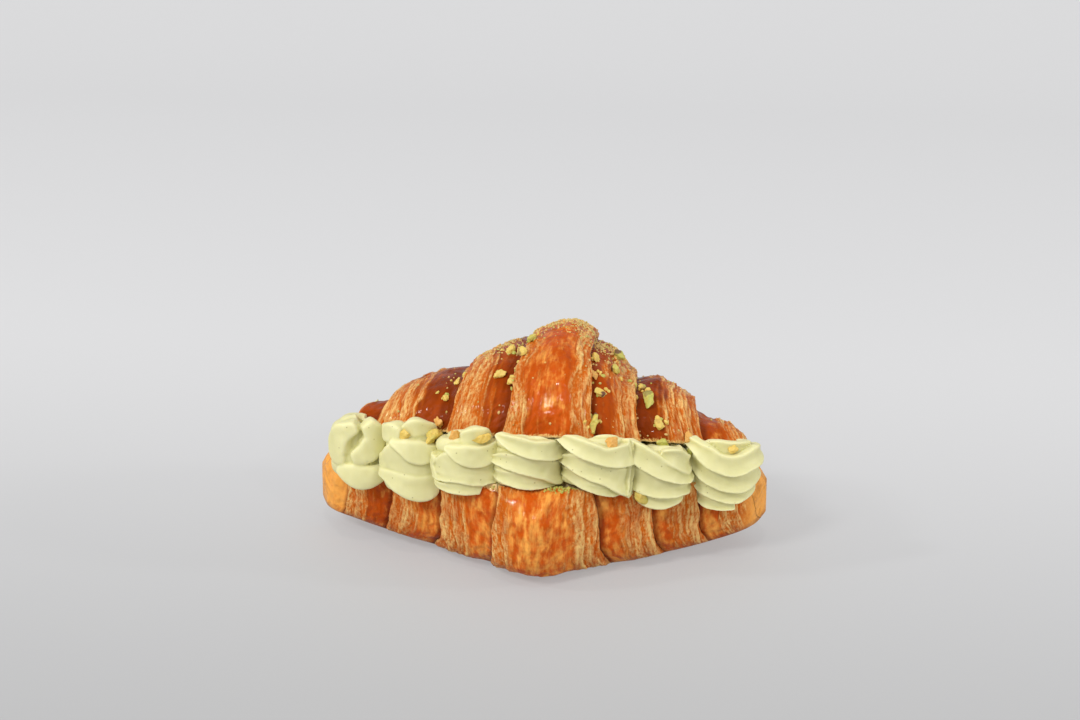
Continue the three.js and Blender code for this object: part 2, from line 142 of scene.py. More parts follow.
# x, half width, height of the crown above the cut, droop of the cut
LID_STATIONS = np.array(
    [
        (-69.5, 0, 0, -6),
        (-67, 7, 6, -5),
        (-61, 12, 7.5, -4),
        (-56, 15.5, 10, -3.4),
        (-50, 19.5, 14, -3),
        (-40, 25, 17.3, -2.5),
        (-31, 30, 20, -2),
        (-17, 36.5, 27.2, -1.5),
        (-5, 40.5, 31.5, -0.5),
        (5, 42, 34.2, 0),
        (10, 41.5, 32.5, -0.2),
        (15, 40, 29.2, -0.5),
        (20, 37.5, 25, -0.9),
        (26, 34, 19, -1.4),
        (34, 29.5, 18.6, -2),
        (40, 26, 16, -2.5),
        (47, 21, 12.5, -3.3),
        (53, 16.5, 7, -4.3),
        (58, 13, 6.8, -5.3),
        (64.5, 8, 4.5, -7),
        (68.5, 0, 0, -9),
    ]
)
base_half = station_curve(BASE_STATIONS, 1, rounded=True)
base_cut = station_curve(BASE_STATIONS, 2)
base_foot = station_curve(BASE_STATIONS, 3)
lid_half = station_curve(LID_STATIONS, 1, rounded=True)
lid_crown = station_curve(LID_STATIONS, 2, rounded=True)
lid_droop = station_curve(LID_STATIONS, 3)

RIM_REACH = 41.0  # the base's cut never reaches further than this from the middle line
RIM_WIDTH = 0.95  # where the base is narrower, its cut is this share of the full width
BASE_EQUATOR = 0.62  # the widest level, as a share of the height
BASE_RIM_SHARE = 0.14  # the share of a section's walk that climbs from the widest level to the cut
BACK_BULGE = 0.5  # the hidden back swells past its rim by this share of what the front does
BASE_SQUARENESS = 2 / 3.8
LID_SQUARENESS = 2 / 2.2
HINGE_Y, HINGE_Z = 42.0, 33.4
LID_TILT = math.radians(10.8)
LID_SHIFT_X = 3.0

# The frame's origin is under the middle of its box. The lower half's left tip tells how the outline moved.
left_tip = min((v.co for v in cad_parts["croissant_base"].data.vertices), key=lambda co: co.x)
SHIFT = np.array([left_tip.x / MM - BASE_STATIONS[0, 0], left_tip.y / MM, 0.0])
print("outline moved by", SHIFT.round(2), "mm")


# %% Sections: a point on each half's crust, from the front edge (share 0) to the back edge (share 1)
def base_rim(x):
    return np.minimum(RIM_WIDTH * base_half(x), RIM_REACH)


def base_section(x, share):
    half, cut, foot = base_half(x), base_cut(x), base_foot(x)
    equator = foot + (cut - foot) * BASE_EQUATOR
    side = np.where(share < 0.5, -1, 1)
    climb = (1 - np.minimum(share, 1 - share) / BASE_RIM_SHARE) * math.pi / 2
    rim = base_rim(x)
    reach = np.where(share < 0.5, half, mix(rim, half, BACK_BULGE))
    y_rim = side * (rim + (reach - rim) * np.cos(climb))
    z_rim = equator + (cut - equator) * np.sin(climb)
    angle = np.clip((share - BASE_RIM_SHARE) / (1 - 2 * BASE_RIM_SHARE), 0, 1) * math.pi
    cosine, sine = np.cos(angle), np.clip(np.sin(angle), 0, 1)
    y_side = -reach * np.sign(cosine) * np.abs(cosine) ** BASE_SQUARENESS
    # The curve would run a millimetre past the foot, and is cut off there to leave it flat.
    z_side = np.maximum(equator - (equator - foot + 1) * sine**BASE_SQUARENESS, foot)
    above = climb > 0
    return np.where(above, y_rim, y_side), np.where(above, z_rim, z_side)


def lid_section(x, share):
    angle = share * math.pi
    cosine, sine = np.cos(angle), np.clip(np.sin(angle), 0, 1)
    y = -lid_half(x) * np.sign(cosine) * np.abs(cosine) ** LID_SQUARENESS
    return y, lid_droop(x) + lid_crown(x) * sine**LID_SQUARENESS


def place_lid(points):
    """Turns points of the upper half back on its hinge edge."""
    x, y, z = points.T
    back = y - HINGE_Y
    turned_y = HINGE_Y + back * math.cos(LID_TILT) + z * math.sin(LID_TILT)
    turned_z = HINGE_Z - back * math.sin(LID_TILT) + z * math.cos(LID_TILT)
    return np.stack([x + LID_SHIFT_X, turned_y, turned_z], axis=1)


def lid_underside(x, y):
    """Height of the upper half's cut face over the table."""
    forward = (y - HINGE_Y) / math.cos(LID_TILT)
    return HINGE_Z + lid_droop(x - LID_SHIFT_X) * math.cos(LID_TILT) - forward * math.sin(LID_TILT)


# %% [markdown]
# ## The rolled layers
# A croissant is a long triangle of laminated dough rolled up from its wide end. Every wrap shows two things:
# a smooth skin that was brushed with egg, and beside its outer edge the cut ends of the dough's layers, which
# fan out into fine wavy ridges as they bake. The wraps could be separate shells, but on the real thing they
# are one dough, so they are one surface with grooves. Each point knows which wrap it is on, how far across it
# and how far along it.

# %% Wraps
# middle is where the middle wrap lies along the croissant, and spread is the half width that it gains in one
# turn. left and right are the widths of the wraps beside it, from the middle outwards. The last entry is how
# dark the middle wrap and its neighbours baked, left then right; on the lower half the outermost wrap each
# way is painted lighter, as painted light on the tips.
BASE_WRAPS = {
    "middle": 6.0,
    "spread": 22.5,
    "left": (20.5, 18.5, 17, 20),
    "right": (17, 14.5, 17, 20),
    "browned_and_tip_light": (0.12, (0.25, 0.15, 0.6, -0.7), (0.1, 0.2, 0.1, -1.1)),
}
LID_WRAPS = {
    "middle": 3.2,
    "spread": 22.0,
    "left": (20.7, 28, 20, 20),
    "right": (14.8, 21, 20, 20),
    "browned_and_tip_light": (0.15, (0.75, 0.9, 0.5, 0.5), (0.6, 0.9, 0.3, 0.3)),
}
WRAP_VALLEY = -1.9
WRAP_CREST = 0.75
SKIN_END = 0.36  # the share of a wrap that is smooth skin
MIDDLE_SKIN_END = 0.54  # the same on the left half of the middle wrap, whose skin is not quite in its middle
LAYER_PITCH = 1.2  # millimetres between two layers of dough at a wrap's edge
STEP_PITCH = 3.7 * LAYER_PITCH  # every few layers stand a step lower than the ones before
FIRST_TOOTH = 50  # counted from here, no layer has a negative number


def wrap_places(wraps, x, turn):
    """For each point: which wrap it is on, its share of the way across, and the wrap's width there."""
    away = np.abs(x - wraps["middle"])
    middle_width = np.maximum(wraps["spread"] * turn, 0.5)
    past = away - middle_width
    share = away / middle_width
    width = middle_width.copy()
    wrap = np.zeros(len(x))
    for side, here in (("left", x < wraps["middle"]), ("right", x >= wraps["middle"])):
        start = 0.0
        for k, w in enumerate(wraps[side]):
            on = here & (past >= start)
            share = np.where(on, np.minimum((past - start) / w, 1), share)
            width = np.where(on, w, width)
            wrap = np.where(on, (k + 1) * (1 if side == "right" else -1), wrap)
            start += w
    return wrap, share, width


def grain(seed, *axes):
    """Noise over three coordinates, each divided by how far the grain runs that way."""
    return noise(np.stack(np.broadcast_arrays(*axes), 1), seed)


def sawtooth(value, peak):
    """Teeth that rise slowly to their peak (a share of the tooth) and break off, and each tooth's number."""
    part, which = np.modf(value + FIRST_TOOTH)
    return np.where(part < peak, part / peak, (1 - part) / (1 - peak)), which


def layer_relief(across, along, wrap, seed):
    """Height of the layers' ends, and how far each point stands out of the gaps between them (0 to 1)."""
    wander = np.stack([across / 7, along / 15, wrap * 5.1], 1)
    walk = across + 1.7 * noise(wander, seed + 4) + 0.6 * noise(wander * 3.3, seed + 5)
    walk = walk + 0.5 * grain(seed + 15, across / 1.9, along / 40, wrap * 8.3)
    broken = 0.22 * grain(seed + 16, across / 0.8, along / 1.6, wrap * 4.9)
    tooth, which = sawtooth(walk / LAYER_PITCH + broken, 0.74)
    strength = 0.5 + 0.5 * grain(seed + 6, which * 2.3, along / 6, wrap * 2.1)
    steps, _ = sawtooth(walk / STEP_PITCH + 0.3 * noise(wander * 2, seed + 17), 0.86)
    fibre = grain(seed + 7, across * 1.9, along / 2.2, wrap * 1.3)
    flake = grain(seed + 18, across / 1.6, along / 3.2, wrap * 6.1)
    height = 0.55 * strength * (tooth - 0.6) + 0.5 * (steps - 0.6)
    height = height + 0.13 * fibre + 0.3 * smoothstep(0.35, 0.6, flake)
    return height, np.clip(0.65 * tooth * strength + 0.45 * steps, 0, 1)


def skin_relief(signed, along, wrap, seed):
    """Stretch marks and ribs along the roll, and a few blisters."""
    stretch = grain(seed + 8, signed / 1.5, along / 13, wrap * 9.7)
    rib = grain(seed + 19, signed / 2.8, along / 26, wrap * 3.9)
    blister = grain(seed + 9, signed / 4.2, along / 6, wrap * 7.3)
    return 0.2 * stretch + 0.3 * rib + 0.4 * smoothstep(0.4, 0.8, blister)


def dough_relief(wraps, x, turn, along, seed):
    """Height of the crust over its outline, and what the finish needs to know at each point."""
    waver = 0.9 * grain(seed, 0, along / 11, x / 40) + 0.35 * grain(seed + 1, 0, along / 3.5, x / 30)
    wrap, share, width = wrap_places(wraps, x + waver * np.sign(x - wraps["middle"]), turn)
    middle = wrap == 0
    rise = np.where(middle, smoothstep(0, 0.3, turn), smoothstep(0, 0.45, share) ** 0.8)
    drop = smoothstep(0.93, 1.0, share)
    height = mix(WRAP_VALLEY, WRAP_CREST, rise * (1 - drop))

    # across is measured from the wrap's inner edge, on the middle wrap both ways from its middle. The two
    # sides of the middle wrap count as two wraps for the layers, and as one for the skin.
    across = share * width
    signed = np.where(middle, x - wraps["middle"], across)
    left_of_middle = middle & (x < wraps["middle"])
    layered_wrap = np.where(left_of_middle, 0.5, wrap)

    # The skin gives way to the layers over a ragged, streaky stretch.
    patches = np.stack([across / 4, along / 10, layered_wrap * 3.7], 1)
    skin_end = np.where(left_of_middle, MIDDLE_SKIN_END, SKIN_END)
    ragged = skin_end + 0.16 * noise(patches, seed + 2) + 0.08 * noise(patches * 3.1, seed + 3)
    streaky = 0.16 * grain(seed + 14, across / 0.9, along / 12, layered_wrap * 2.9)
    layered = smoothstep(ragged - 0.08, ragged + 0.16, share + streaky) * smoothstep(0, 0.25, turn)
    ridges, strand = layer_relief(across, along, layered_wrap, seed)
    height = height + mix(skin_relief(signed, along, wrap, seed), ridges, layered)

    # groove marks the grooves between wraps, where the finish paints shade.
    groove = np.where(middle, 0, 1 - smoothstep(0, 0.2, share))
    groove = np.maximum(groove, smoothstep(0.975, 1, share)) * smoothstep(0, 0.2, turn)
    middle_tone, left_tones, right_tones = wraps["browned_and_tip_light"]
    tones = np.array((*left_tones[::-1], middle_tone, *right_tones))
    return height, {
        "layered": layered,
        "strand": layered * strand,
        "groove": groove,
        "roll": np.stack([signed, along, wrap * 13.7 + seed], 1),
        "browned_and_tip_light": tones[(wrap + len(left_tones)).astype(int)],
    }


# %% [markdown]
# ## Both halves as fine grids
# The sections are cut into rings and every ring is walked at an even pace, so the ridges stay crisp on the
# steep sides too. A knife cut opens the crumb: a web of thin dough walls and air bubbles, drawn out along the
# croissant.

# %% Grid sizes
RINGS = 600
CRUST_POINTS = 134
CRUMB_POINTS = 28


def ring_stations(first, last):
    """Rings that sit closer together towards the tips."""
    even = np.linspace(0, 1, RINGS + 2)[1:-1]
    crowded = (1 - np.cos(math.pi * even)) / 2
    return mix(first, last, 0.6 * even + 0.4 * crowded)


def ring_copies(values):
    """One value per ring, copied to each point of its crust."""
    return np.repeat(values, CRUST_POINTS + 1)


def even_walk(section, stations):
    """Shares that split every ring into equal steps, and the distance walked, in millimetres."""
    fine = np.linspace(0, 1, 501)
    shares, walked = [], []
    for x in stations:
        y, z = section(np.full(fine.shape, x), fine)
        length = np.concatenate([[0], np.cumsum(np.hypot(np.diff(y), np.diff(z)))])
        steps = np.linspace(0, length[-1], CRUST_POINTS + 1)
        shares.append(np.interp(steps, length, fine))
        walked.append(steps - length[-1] / 2)
    return np.array(shares), np.array(walked)


def grid_normals(points, flip):
    along, around = np.gradient(points, axis=0), np.gradient(points, axis=1)
    normal = np.cross(along, around) * flip
    return normal / np.maximum(np.linalg.norm(normal, axis=2, keepdims=True), 1e-9)


def crumb_relief(points, seed):
    """Depth of the open crumb: drawn-out bubbles of two sizes."""
    stretched = points / np.array([5.2, 3.0, 3.0])
    large = smoothstep(0.12, 0.6, noise(stretched, seed))
    small = smoothstep(0.05, 0.6, noise(points / np.array([2.0, 1.5, 1.5]), seed + 1))
    return 1.5 * large + 0.6 * small


# %% The crust of a half
LUMPS_LOWERED = 0.45  # keeps the lumps of the crust inside the outline
# The lower half's tips are the croissant's own. They round off over their last millimetres, and there the
# wraps run out into plain golden skin.
NOSE_LENGTH = 11.0
NOSE_NARROWING = 0.8
PLAIN_UP_TO, WRAPPED_FROM = 3.0, 10.0  # millimetres from the tip
PLAIN_TONE = -0.9  # on the scale of browned


def round_noses(rings, from_tip):
    """Narrows the last rings, so that the tips are round noses from above."""
    nose = np.sqrt(1 - NOSE_NARROWING * (1 - np.clip(from_tip / NOSE_LENGTH, 0, 1)) ** 2)
    middle = (rings[..., 1].max(1) + rings[..., 1].min(1)) / 2
    rings[..., 1] = middle[:, None] + (rings[..., 1] - middle[:, None]) * nose[:, None]


def crust_rings(section, stations, wraps, turn_of, upward, seed):
    """Rings of crust points, what the finish needs to know at each, and how far each is round its ring."""
    share, walked = even_walk(section, stations)
    x = ring_copies(stations)
    y, z = section(x, share.ravel())
    smooth = np.stack([x, y, z], 1).reshape(RINGS, CRUST_POINTS + 1, 3)
    from_tip = np.minimum(stations - stations[0], stations[-1] - stations)
    if upward > 0:
        round_noses(smooth, from_tip)
    height, masks = dough_relief(wraps, x, turn_of(share.ravel()), walked.ravel(), seed)
    places = smooth.reshape(-1, 3)
    lumps = 0.45 * noise(places / 17, seed + 20) + 0.2 * noise(places / 7, seed + 21) - LUMPS_LOWERED
    # The relief fades where the rings get narrow, and on the lower half towards the foot and the noses.
    lift = smoothstep(1, 10, ring_copies(np.abs(smooth[:, 0, 1])))
    masks["sole"] = np.zeros(len(x))
    if upward > 0:
        over_foot = z - ring_copies(base_foot(stations))
        masks["sole"] = 1 - smoothstep(0, 3, over_foot)
        wrapped = ring_copies(smoothstep(PLAIN_UP_TO, WRAPPED_FROM, from_tip))
        lift = lift * smoothstep(0, 4, over_foot) * wrapped
        for name in ("layered", "strand", "groove"):
            masks[name] = masks[name] * wrapped
        masks["browned_and_tip_light"] = mix(PLAIN_TONE, masks["browned_and_tip_light"], wrapped)
    push = ((height + lumps) * lift).reshape(RINGS, -1, 1)
    crust = smooth + grid_normals(smooth, -upward) * push
    if upward > 0:
        crust[..., 2] = np.maximum(crust[..., 2], 0)
    return crust, masks, walked


# %% The crumb of a half
# The knife stopped short of the lower half's tips, where the top is crust again, gently domed.
HEALED_FROM, HEALED_TO = 67, 71  # millimetres from the middle
HEALED_DOME = 2.4
FAR_FROM_CUT = 9.0  # more than the torn edge is ever wide


def crumb_rings(crust, stations, upward, seed):
    """The cut face, which closes every ring from its back edge to its front edge, and what it looks like."""
    t = (np.arange(CRUMB_POINTS - 1) + 1) / CRUMB_POINTS
    back, front = crust[:, -1], crust[:, 0]
    crumb = back[:, None] + (front - back)[:, None] * t[None, :, None]
    fade = smoothstep(0, 0.06, np.minimum(t, 1 - t))[None] * smoothstep(2, 9, np.abs(front[:, 1]))[:, None]
    pits = crumb_relief(crumb.reshape(-1, 3), seed + 40).reshape(crumb.shape[:2]) * fade
    crumb[..., 2] -= upward * pits
    healed = smoothstep(HEALED_FROM, HEALED_TO, np.abs(stations))[:, None] * (upward > 0)
    crumb[..., 2] += HEALED_DOME * healed * np.sqrt(1 - (2 * t - 1) ** 2)[None]
    return crumb, pits, healed, t


def masks_all_round(masks, pits, healed, t, walked):
    """The crust's masks carried on across the cut face and to the tip points, and the masks of the cut."""
    full = {}
    for name, values in masks.items():
        wide = values.reshape(RINGS, CRUST_POINTS + 1, -1)
        last = wide[:, -1:] + (wide[:, :1] - wide[:, -1:]) * t[None, :, None]
        joined = np.concatenate([wide, last], axis=1).reshape(-1, wide.shape[2])
        full[name] = np.concatenate([joined, joined[:1], joined[-1:]])
    crumb = np.zeros((RINGS, CRUST_POINTS + CRUMB_POINTS))
    crumb[:, CRUST_POINTS + 1 :] = 1
    crumb[:, (0, CRUST_POINTS)] = 0.75
    crumb *= 1 - healed
    pit = np.zeros_like(crumb)
    pit[:, CRUST_POINTS + 1 :] = pits / 2
    from_cut = np.full_like(crumb, FAR_FROM_CUT)
    from_edge = np.minimum(walked - walked[:, :1], walked[:, -1:] - walked)
    from_cut[:, : CRUST_POINTS + 1] = from_edge + FAR_FROM_CUT * healed
    for name, values, at_tips in (("crumb", crumb, 0), ("pit", pit, 0), ("from_cut", from_cut, FAR_FROM_CUT)):
        full[name] = np.append(values.ravel(), [at_tips, at_tips])[:, None]
    return full


# %% Put a half together
TIP_OUT = np.array([0.03, 0, 0])  # how far the closing point of each tip stands out


def half_croissant(section, stations, cut, wraps, turn_of, upward, seed):
    """Points, faces and finish masks of one half. upward is 1 if the cut faces up, -1 if it faces down."""
    crust, masks, walked = crust_rings(section, stations, wraps, turn_of, upward, seed)
    # The cut edge keeps its height and tears a little.
    for j in (0, CRUST_POINTS):
        tear = 0.35 * grain(seed + 30, stations / 1.7, j, 0)
        crust[:, j, 2] = cut(stations) - upward * np.abs(tear)
    crumb, pits, healed, t = crumb_rings(crust, stations, upward, seed)
    rings = np.concatenate([crust, crumb], axis=1)
    around = rings.shape[1]
    tips = [rings[0].mean(0) - TIP_OUT, rings[-1].mean(0) + TIP_OUT]
    points = np.concatenate([rings.reshape(-1, 3), tips])
    faces = [ring_faces(RINGS, around), tip_fans(RINGS, around, RINGS * around)]
    if upward < 0:
        faces = [kind[:, ::-1] for kind in faces]
    return points, faces, masks_all_round(masks, pits, healed, t, walked)


def ring_faces(rings, count):
    i, j = np.meshgrid(np.arange(rings - 1), np.arange(count), indexing="ij")
    a = (i * count + j).ravel()
    b = (i * count + (j + 1) % count).ravel()
    return np.stack([a, b, b + count, a + count], 1)


def tip_fans(rings, count, pole):
    j = np.arange(count)
    following = (j + 1) % count
    start = np.stack([np.full(count, pole), following, j], 1)
    last = (rings - 1) * count
    end = np.stack([np.full(count, pole + 1), last + j, last + following], 1)
    return np.concatenate([start, end])


# %% Turn arrays into a piece
def new_piece(name, mesh):
    piece = bpy.data.objects.new(name, mesh)
    bpy.context.scene.collection.objects.link(piece)
    return piece


def mesh_object(name, points_mm, faces, attributes=None):
    """A new piece at the origin. Points come in the outline's millimetres, before the frame's shift."""
    mesh = bpy.data.meshes.new(name)
    corners = np.concatenate([np.asarray(f).ravel() for f in faces])
    sizes = np.concatenate([np.full(len(f), f.shape[1]) for f in faces])
    mesh.vertices.add(len(points_mm))
    mesh.vertices.foreach_set("co", ((points_mm + SHIFT) * MM).astype(np.float32).ravel())
    mesh.loops.add(len(corners))
    mesh.loops.foreach_set("vertex_index", corners.astype(np.int32))
    mesh.polygons.add(len(sizes))
    mesh.polygons.foreach_set("loop_start", (np.cumsum(sizes) - sizes).astype(np.int32))
    mesh.update(calc_edges=True)
    mesh.validate()
    mesh.shade_smooth()
    for key, values in (attributes or {}).items():
        values = np.asarray(values, np.float32)
        kind, field = ("FLOAT_VECTOR", "vector") if values.shape[-1] == 3 else ("FLOAT", "value")
        mesh.attributes.new(key, kind, "POINT").data.foreach_set(field, values.ravel())
    return new_piece(name, mesh)


def triangle_count(piece):
    return sum(len(p.vertices) - 2 for p in piece.data.polygons)


# %% Bake the two halves
# Where round the roll the front edge of the cut is, in turns. Each half goes half a turn round from there.
FRONT_TURN = 0.72


def base_turn(share):
    turn = FRONT_TURN + share / 2
    return np.where(turn > 1, turn - 1, turn)


def lid_turn(share):
    return FRONT_TURN - share / 2


base_rings = ring_stations(BASE_STATIONS[0, 0], BASE_STATIONS[-1, 0])
points, faces, masks = half_croissant(base_section, base_rings, base_cut, BASE_WRAPS, base_turn, 1, seed=3)
base_piece = mesh_object("base_crust_and_crumb", points, faces, masks)
lid_rings = ring_stations(LID_STATIONS[0, 0], LID_STATIONS[-1, 0])
points, faces, masks = half_croissant(lid_section, lid_rings, lid_droop, LID_WRAPS, lid_turn, -1, seed=5)
lid_piece = mesh_object("lid_crust_and_crumb", place_lid(points), faces, masks)
print("triangles", triangle_count(base_piece), triangle_count(lid_piece))

# %% [markdown]
# ## Finishes
# Egg wash bakes into a thin glossy coat over a brown skin. The layered edges are drier and paler, with dark
# gaps between the strands. Both are one dough, so they are one material that reads the masks painted on the
# points. Fine streaks are noise stretched along the roll, on the coordinates that follow every wrap.


# %% Node helpers
def feed(tree, slot, value):
    """Gives a node's input a plain value, or a link from another node's output."""
    if isinstance(value, bpy.types.NodeSocket):
        tree.links.new(value, slot)
    else:
        slot.default_value = value


def add_node(tree, kind, settings=None, **inputs):
    """A node with its settings, and its inputs by name, or by number as in0, in1 and so on."""
    node = tree.nodes.new(kind)
    for key, value in (settings or {}).items():
        setattr(node, key, value)
    for key, value in inputs.items():
        numbered = key.startswith("in") and key[2:].isdigit()
        feed(tree, node.inputs[int(key[2:]) if numbered else key.replace("_", " ")], value)
    return node


def result(tree, kind, settings=None, **inputs):
    """The first output of a new node."""
    return add_node(tree, kind, settings, **inputs).outputs[0]


def attribute(tree, name, output="Fac"):
    return add_node(tree, "ShaderNodeAttribute", {"attribute_name": name}).outputs[output]


def maths(tree, operation, a, b=0.0):
    return result(tree, "ShaderNodeMath", {"operation": operation}, in0=a, in1=b)


def weighted(tree, *terms, plus=0.0):
    """A sum of (output, weight) terms, plus a number."""
    total, settings = plus, {"operation": "MULTIPLY_ADD"}
    for output, weight in terms:
        total = result(tree, "ShaderNodeMath", settings, in0=output, in1=weight, in2=total)
    return total


def blend_colour(tree, factor, a, b):
    node = add_node(tree, "ShaderNodeMix", {"data_type": "RGBA"}, in0=factor, in6=a, in7=b)
    return node.outputs[2]


def blend_value(tree, factor, a, b):
    return result(tree, "ShaderNodeMix", {"data_type": "FLOAT"}, in0=factor, in2=a, in3=b)


def ramp(tree, factor, low, high, bottom=0.0, top=1.0):
    """Takes factor from low..high to bottom..top, with soft ends."""
    soft = {"interpolation_type": "SMOOTHSTEP"}
    return result(tree, "ShaderNodeMapRange", soft, in0=factor, in1=low, in2=high, in3=bottom, in4=top)


def cloud(tree, vector, scale, stretch=(1, 1, 1), detail=3.0, rough=0.55):
    """A noise pattern from 0 to 1, stretched along the vector's axes."""
    moved = result(tree, "ShaderNodeVectorMath", {"operation": "MULTIPLY"}, in0=vector, in1=stretch)
    return result(tree, "ShaderNodeTexNoise", Vector=moved, Scale=scale, Detail=detail, Roughness=rough)


# %% Groups and finishes
FLOAT, COLOUR, VECTOR = "NodeSocketFloat", "NodeSocketColor", "NodeSocketVector"


def new_group(name, inputs, outputs):
    """A shader group with named sockets. inputs and outputs are (name, kind, value) and (name, kind) rows."""
    tree = bpy.data.node_groups.new(name, "ShaderNodeTree")
    for label, kind, value in inputs:
        tree.interface.new_socket(label, in_out="INPUT", socket_type=kind).default_value = value
    for label, kind in outputs:
        tree.interface.new_socket(label, in_out="OUTPUT", socket_type=kind)
    return tree, tree.nodes.new("NodeGroupInput").outputs


def put_out(tree, **values):
    """Ends a group: what it works out, by the name of its output."""
    end = tree.nodes.new("NodeGroupOutput")
    for label, value in values.items():
        tree.links.new(value, end.inputs[label])


def new_finish(name):
    """A material with its tree and its Principled shader."""
    finish = bpy.data.materials.new(name)
    finish.use_nodes = True
    return finish, finish.node_tree, finish.node_tree.nodes["Principled BSDF"]


def group_finish(name, group_tree, plain, bump, bump_mm, **inputs):
    """A material around a group: its colour, roughness, glaze and relief, and the shader's plain settings."""
    finish, tree, shader = new_finish(name)
    group = add_node(tree, "ShaderNodeGroup", {"node_tree": group_tree}, **inputs)
    for given, taken in (("Colour", "Base Color"), ("Roughness", "Roughness"), ("Glaze", "Coat Weight")):
        if given in group.outputs:
            tree.links.new(group.outputs[given], shader.inputs[taken])
    for label, value in plain.items():
        shader.inputs[label].default_value = value
    height = group.outputs["Height"]
    relief = result(tree, "ShaderNodeBump", Strength=bump, Distance=bump_mm * MM, Height=height)
    tree.links.new(relief, shader.inputs["Normal"])
    return finish


# %% Baked dough: the colours of skin, layers and crumb
dough, given = new_group(
    "baked_dough",
    [
        ("Skin", COLOUR, (0.55, 0.082, 0.003, 1)),
        ("Golden skin", COLOUR, (0.90, 0.39, 0.075, 1)),
        ("Dark skin", COLOUR, (0.20, 0.028, 0.001, 1)),
        ("Layer", COLOUR, (0.67, 0.14, 0.006, 1)),
        ("Pale layer", COLOUR, (0.96, 0.60, 0.21, 1)),
        ("Toast", FLOAT, 0.4),
    ],
    [("Colour", COLOUR), ("Roughness", FLOAT), ("Height", FLOAT), ("Glaze", FLOAT)],
)
TORN_EDGE = (0.82, 0.50, 0.16, 1)
SOLE = (0.33, 0.09, 0.022, 1)
CRUMB, PALE_CRUMB, PORE_SHADE = (0.76, 0.55, 0.27, 1), (0.90, 0.76, 0.47, 1), (0.55, 0.33, 0.12, 1)
roll = attribute(dough, "roll", "Vector")
layered, strand, groove = (attribute(dough, name) for name in ("layered", "strand", "groove"))
browned_and_tip_light, from_cut, sole = (attribute(dough, name) for name in ("browned_and_tip_light", "from_cut", "sole"))
crumb_mask, pit = attribute(dough, "crumb"), attribute(dough, "pit")
dough_place = add_node(dough, "ShaderNodeTexCoord").outputs["Object"]


def roll_cloud(across, along, detail=3.0, rough=0.55):
    """A noise pattern on the coordinates that follow the roll, with so many grains per millimetre."""
    return cloud(dough, roll, 1.0, (across, along, 1.0), detail, rough)


# Skin: broad browning, streaks along the roll, golden where it stretched thin, and painted shade in the
# grooves behind the next wrap.
broad = cloud(dough, dough_place, 60.0)
streak = roll_cloud(0.34, 0.06, rough=0.5)
browning = weighted(
    dough, (broad, 1.0), (streak, 0.8), (groove, 0.45), (browned_and_tip_light, 0.95), (given["Toast"], 1.0), plus=-1.3
)
skin_colour = blend_colour(dough, browning, given["Skin"], given["Dark skin"])
thin = roll_cloud(0.5, 0.13, 5.0, 0.6)
blotch = cloud(dough, dough_place, 190.0, detail=4.0, rough=0.6)
golden = weighted(dough, (thin, 0.9), (blotch, 0.7), (given["Toast"], -0.22), (browned_and_tip_light, -0.3))
skin_colour = blend_colour(dough, ramp(dough, golden, 0.6, 0.98), skin_colour, given["Golden skin"])
scorch = weighted(dough, (roll_cloud(0.45, 0.14, 5.0, 0.6), 0.55), (blotch, 0.5))
skin_colour = blend_colour(dough, ramp(dough, scorch, 0.54, 0.7, top=0.4), skin_colour, given["Dark skin"])

# Layers: pale broken edges over orange gaps, with fine fibres and paler flecks.
fibre = roll_cloud(1.3, 0.32, 5.0, 0.62)
fleck = roll_cloud(1.5, 0.9, 6.0, 0.72)
gleam = weighted(dough, (strand, 0.62), (fibre, 1.0), (fleck, 1.1), plus=-0.95)
layer_colour = blend_colour(dough, ramp(dough, gleam, 0.12, 0.66), given["Layer"], given["Pale layer"])
tone = ramp(dough, roll_cloud(0.35, 0.07), 0.44, 0.7, top=0.55)
layer_colour = blend_colour(dough, tone, layer_colour, given["Skin"])
crust_colour = blend_colour(dough, layered, skin_colour, layer_colour)
# Deep in the grooves between wraps the crust is painted darker still: painted shade.
painted_groove_shade = ramp(dough, groove, 0.45, 1.0, top=0.7)
crust_colour = blend_colour(dough, painted_groove_shade, crust_colour, given["Dark skin"])

# The knife tore the crust a little along the cut: a thin ragged edge where the pale inside shows.
torn = weighted(dough, (from_cut, 1.0), (fleck, -6.0), plus=3.0)
crust_colour = blend_colour(dough, ramp(dough, torn, 1.3, 0.5), crust_colour, TORN_EDGE)

# The sole is browned flat by the tray. The crumb is pale, with painted shade deeper in its pores.
crust_colour = blend_colour(dough, maths(dough, "MULTIPLY", sole, 0.45), crust_colour, SOLE)
crumb_colour = blend_colour(dough, cloud(dough, dough_place, 420.0), CRUMB, PALE_CRUMB)
crumb_colour = blend_colour(dough, maths(dough, "MULTIPLY", pit, 0.9), crumb_colour, PORE_SHADE)
dough_colour = blend_colour(dough, crumb_mask, crust_colour, crumb_colour)

# %% Baked dough: the glaze and the relief
# The egg wash is patchy: glossy where it pooled, dull where it ran off, and missing on the crumb.
wet = cloud(dough, dough_place, 240.0, detail=4.0, rough=0.65)
skin_rough = weighted(dough, (wet, 0.45), plus=0.12)
layer_rough = weighted(dough, (fibre, 0.35), plus=0.28)
dough_rough = blend_value(dough, crumb_mask, blend_value(dough, layered, skin_rough, layer_rough), 0.85)
glaze = blend_value(dough, crumb_mask, weighted(dough, (layered, -0.15), plus=0.8), 0.0)
glaze = maths(dough, "MULTIPLY", glaze, ramp(dough, wet, 0.64, 0.4))

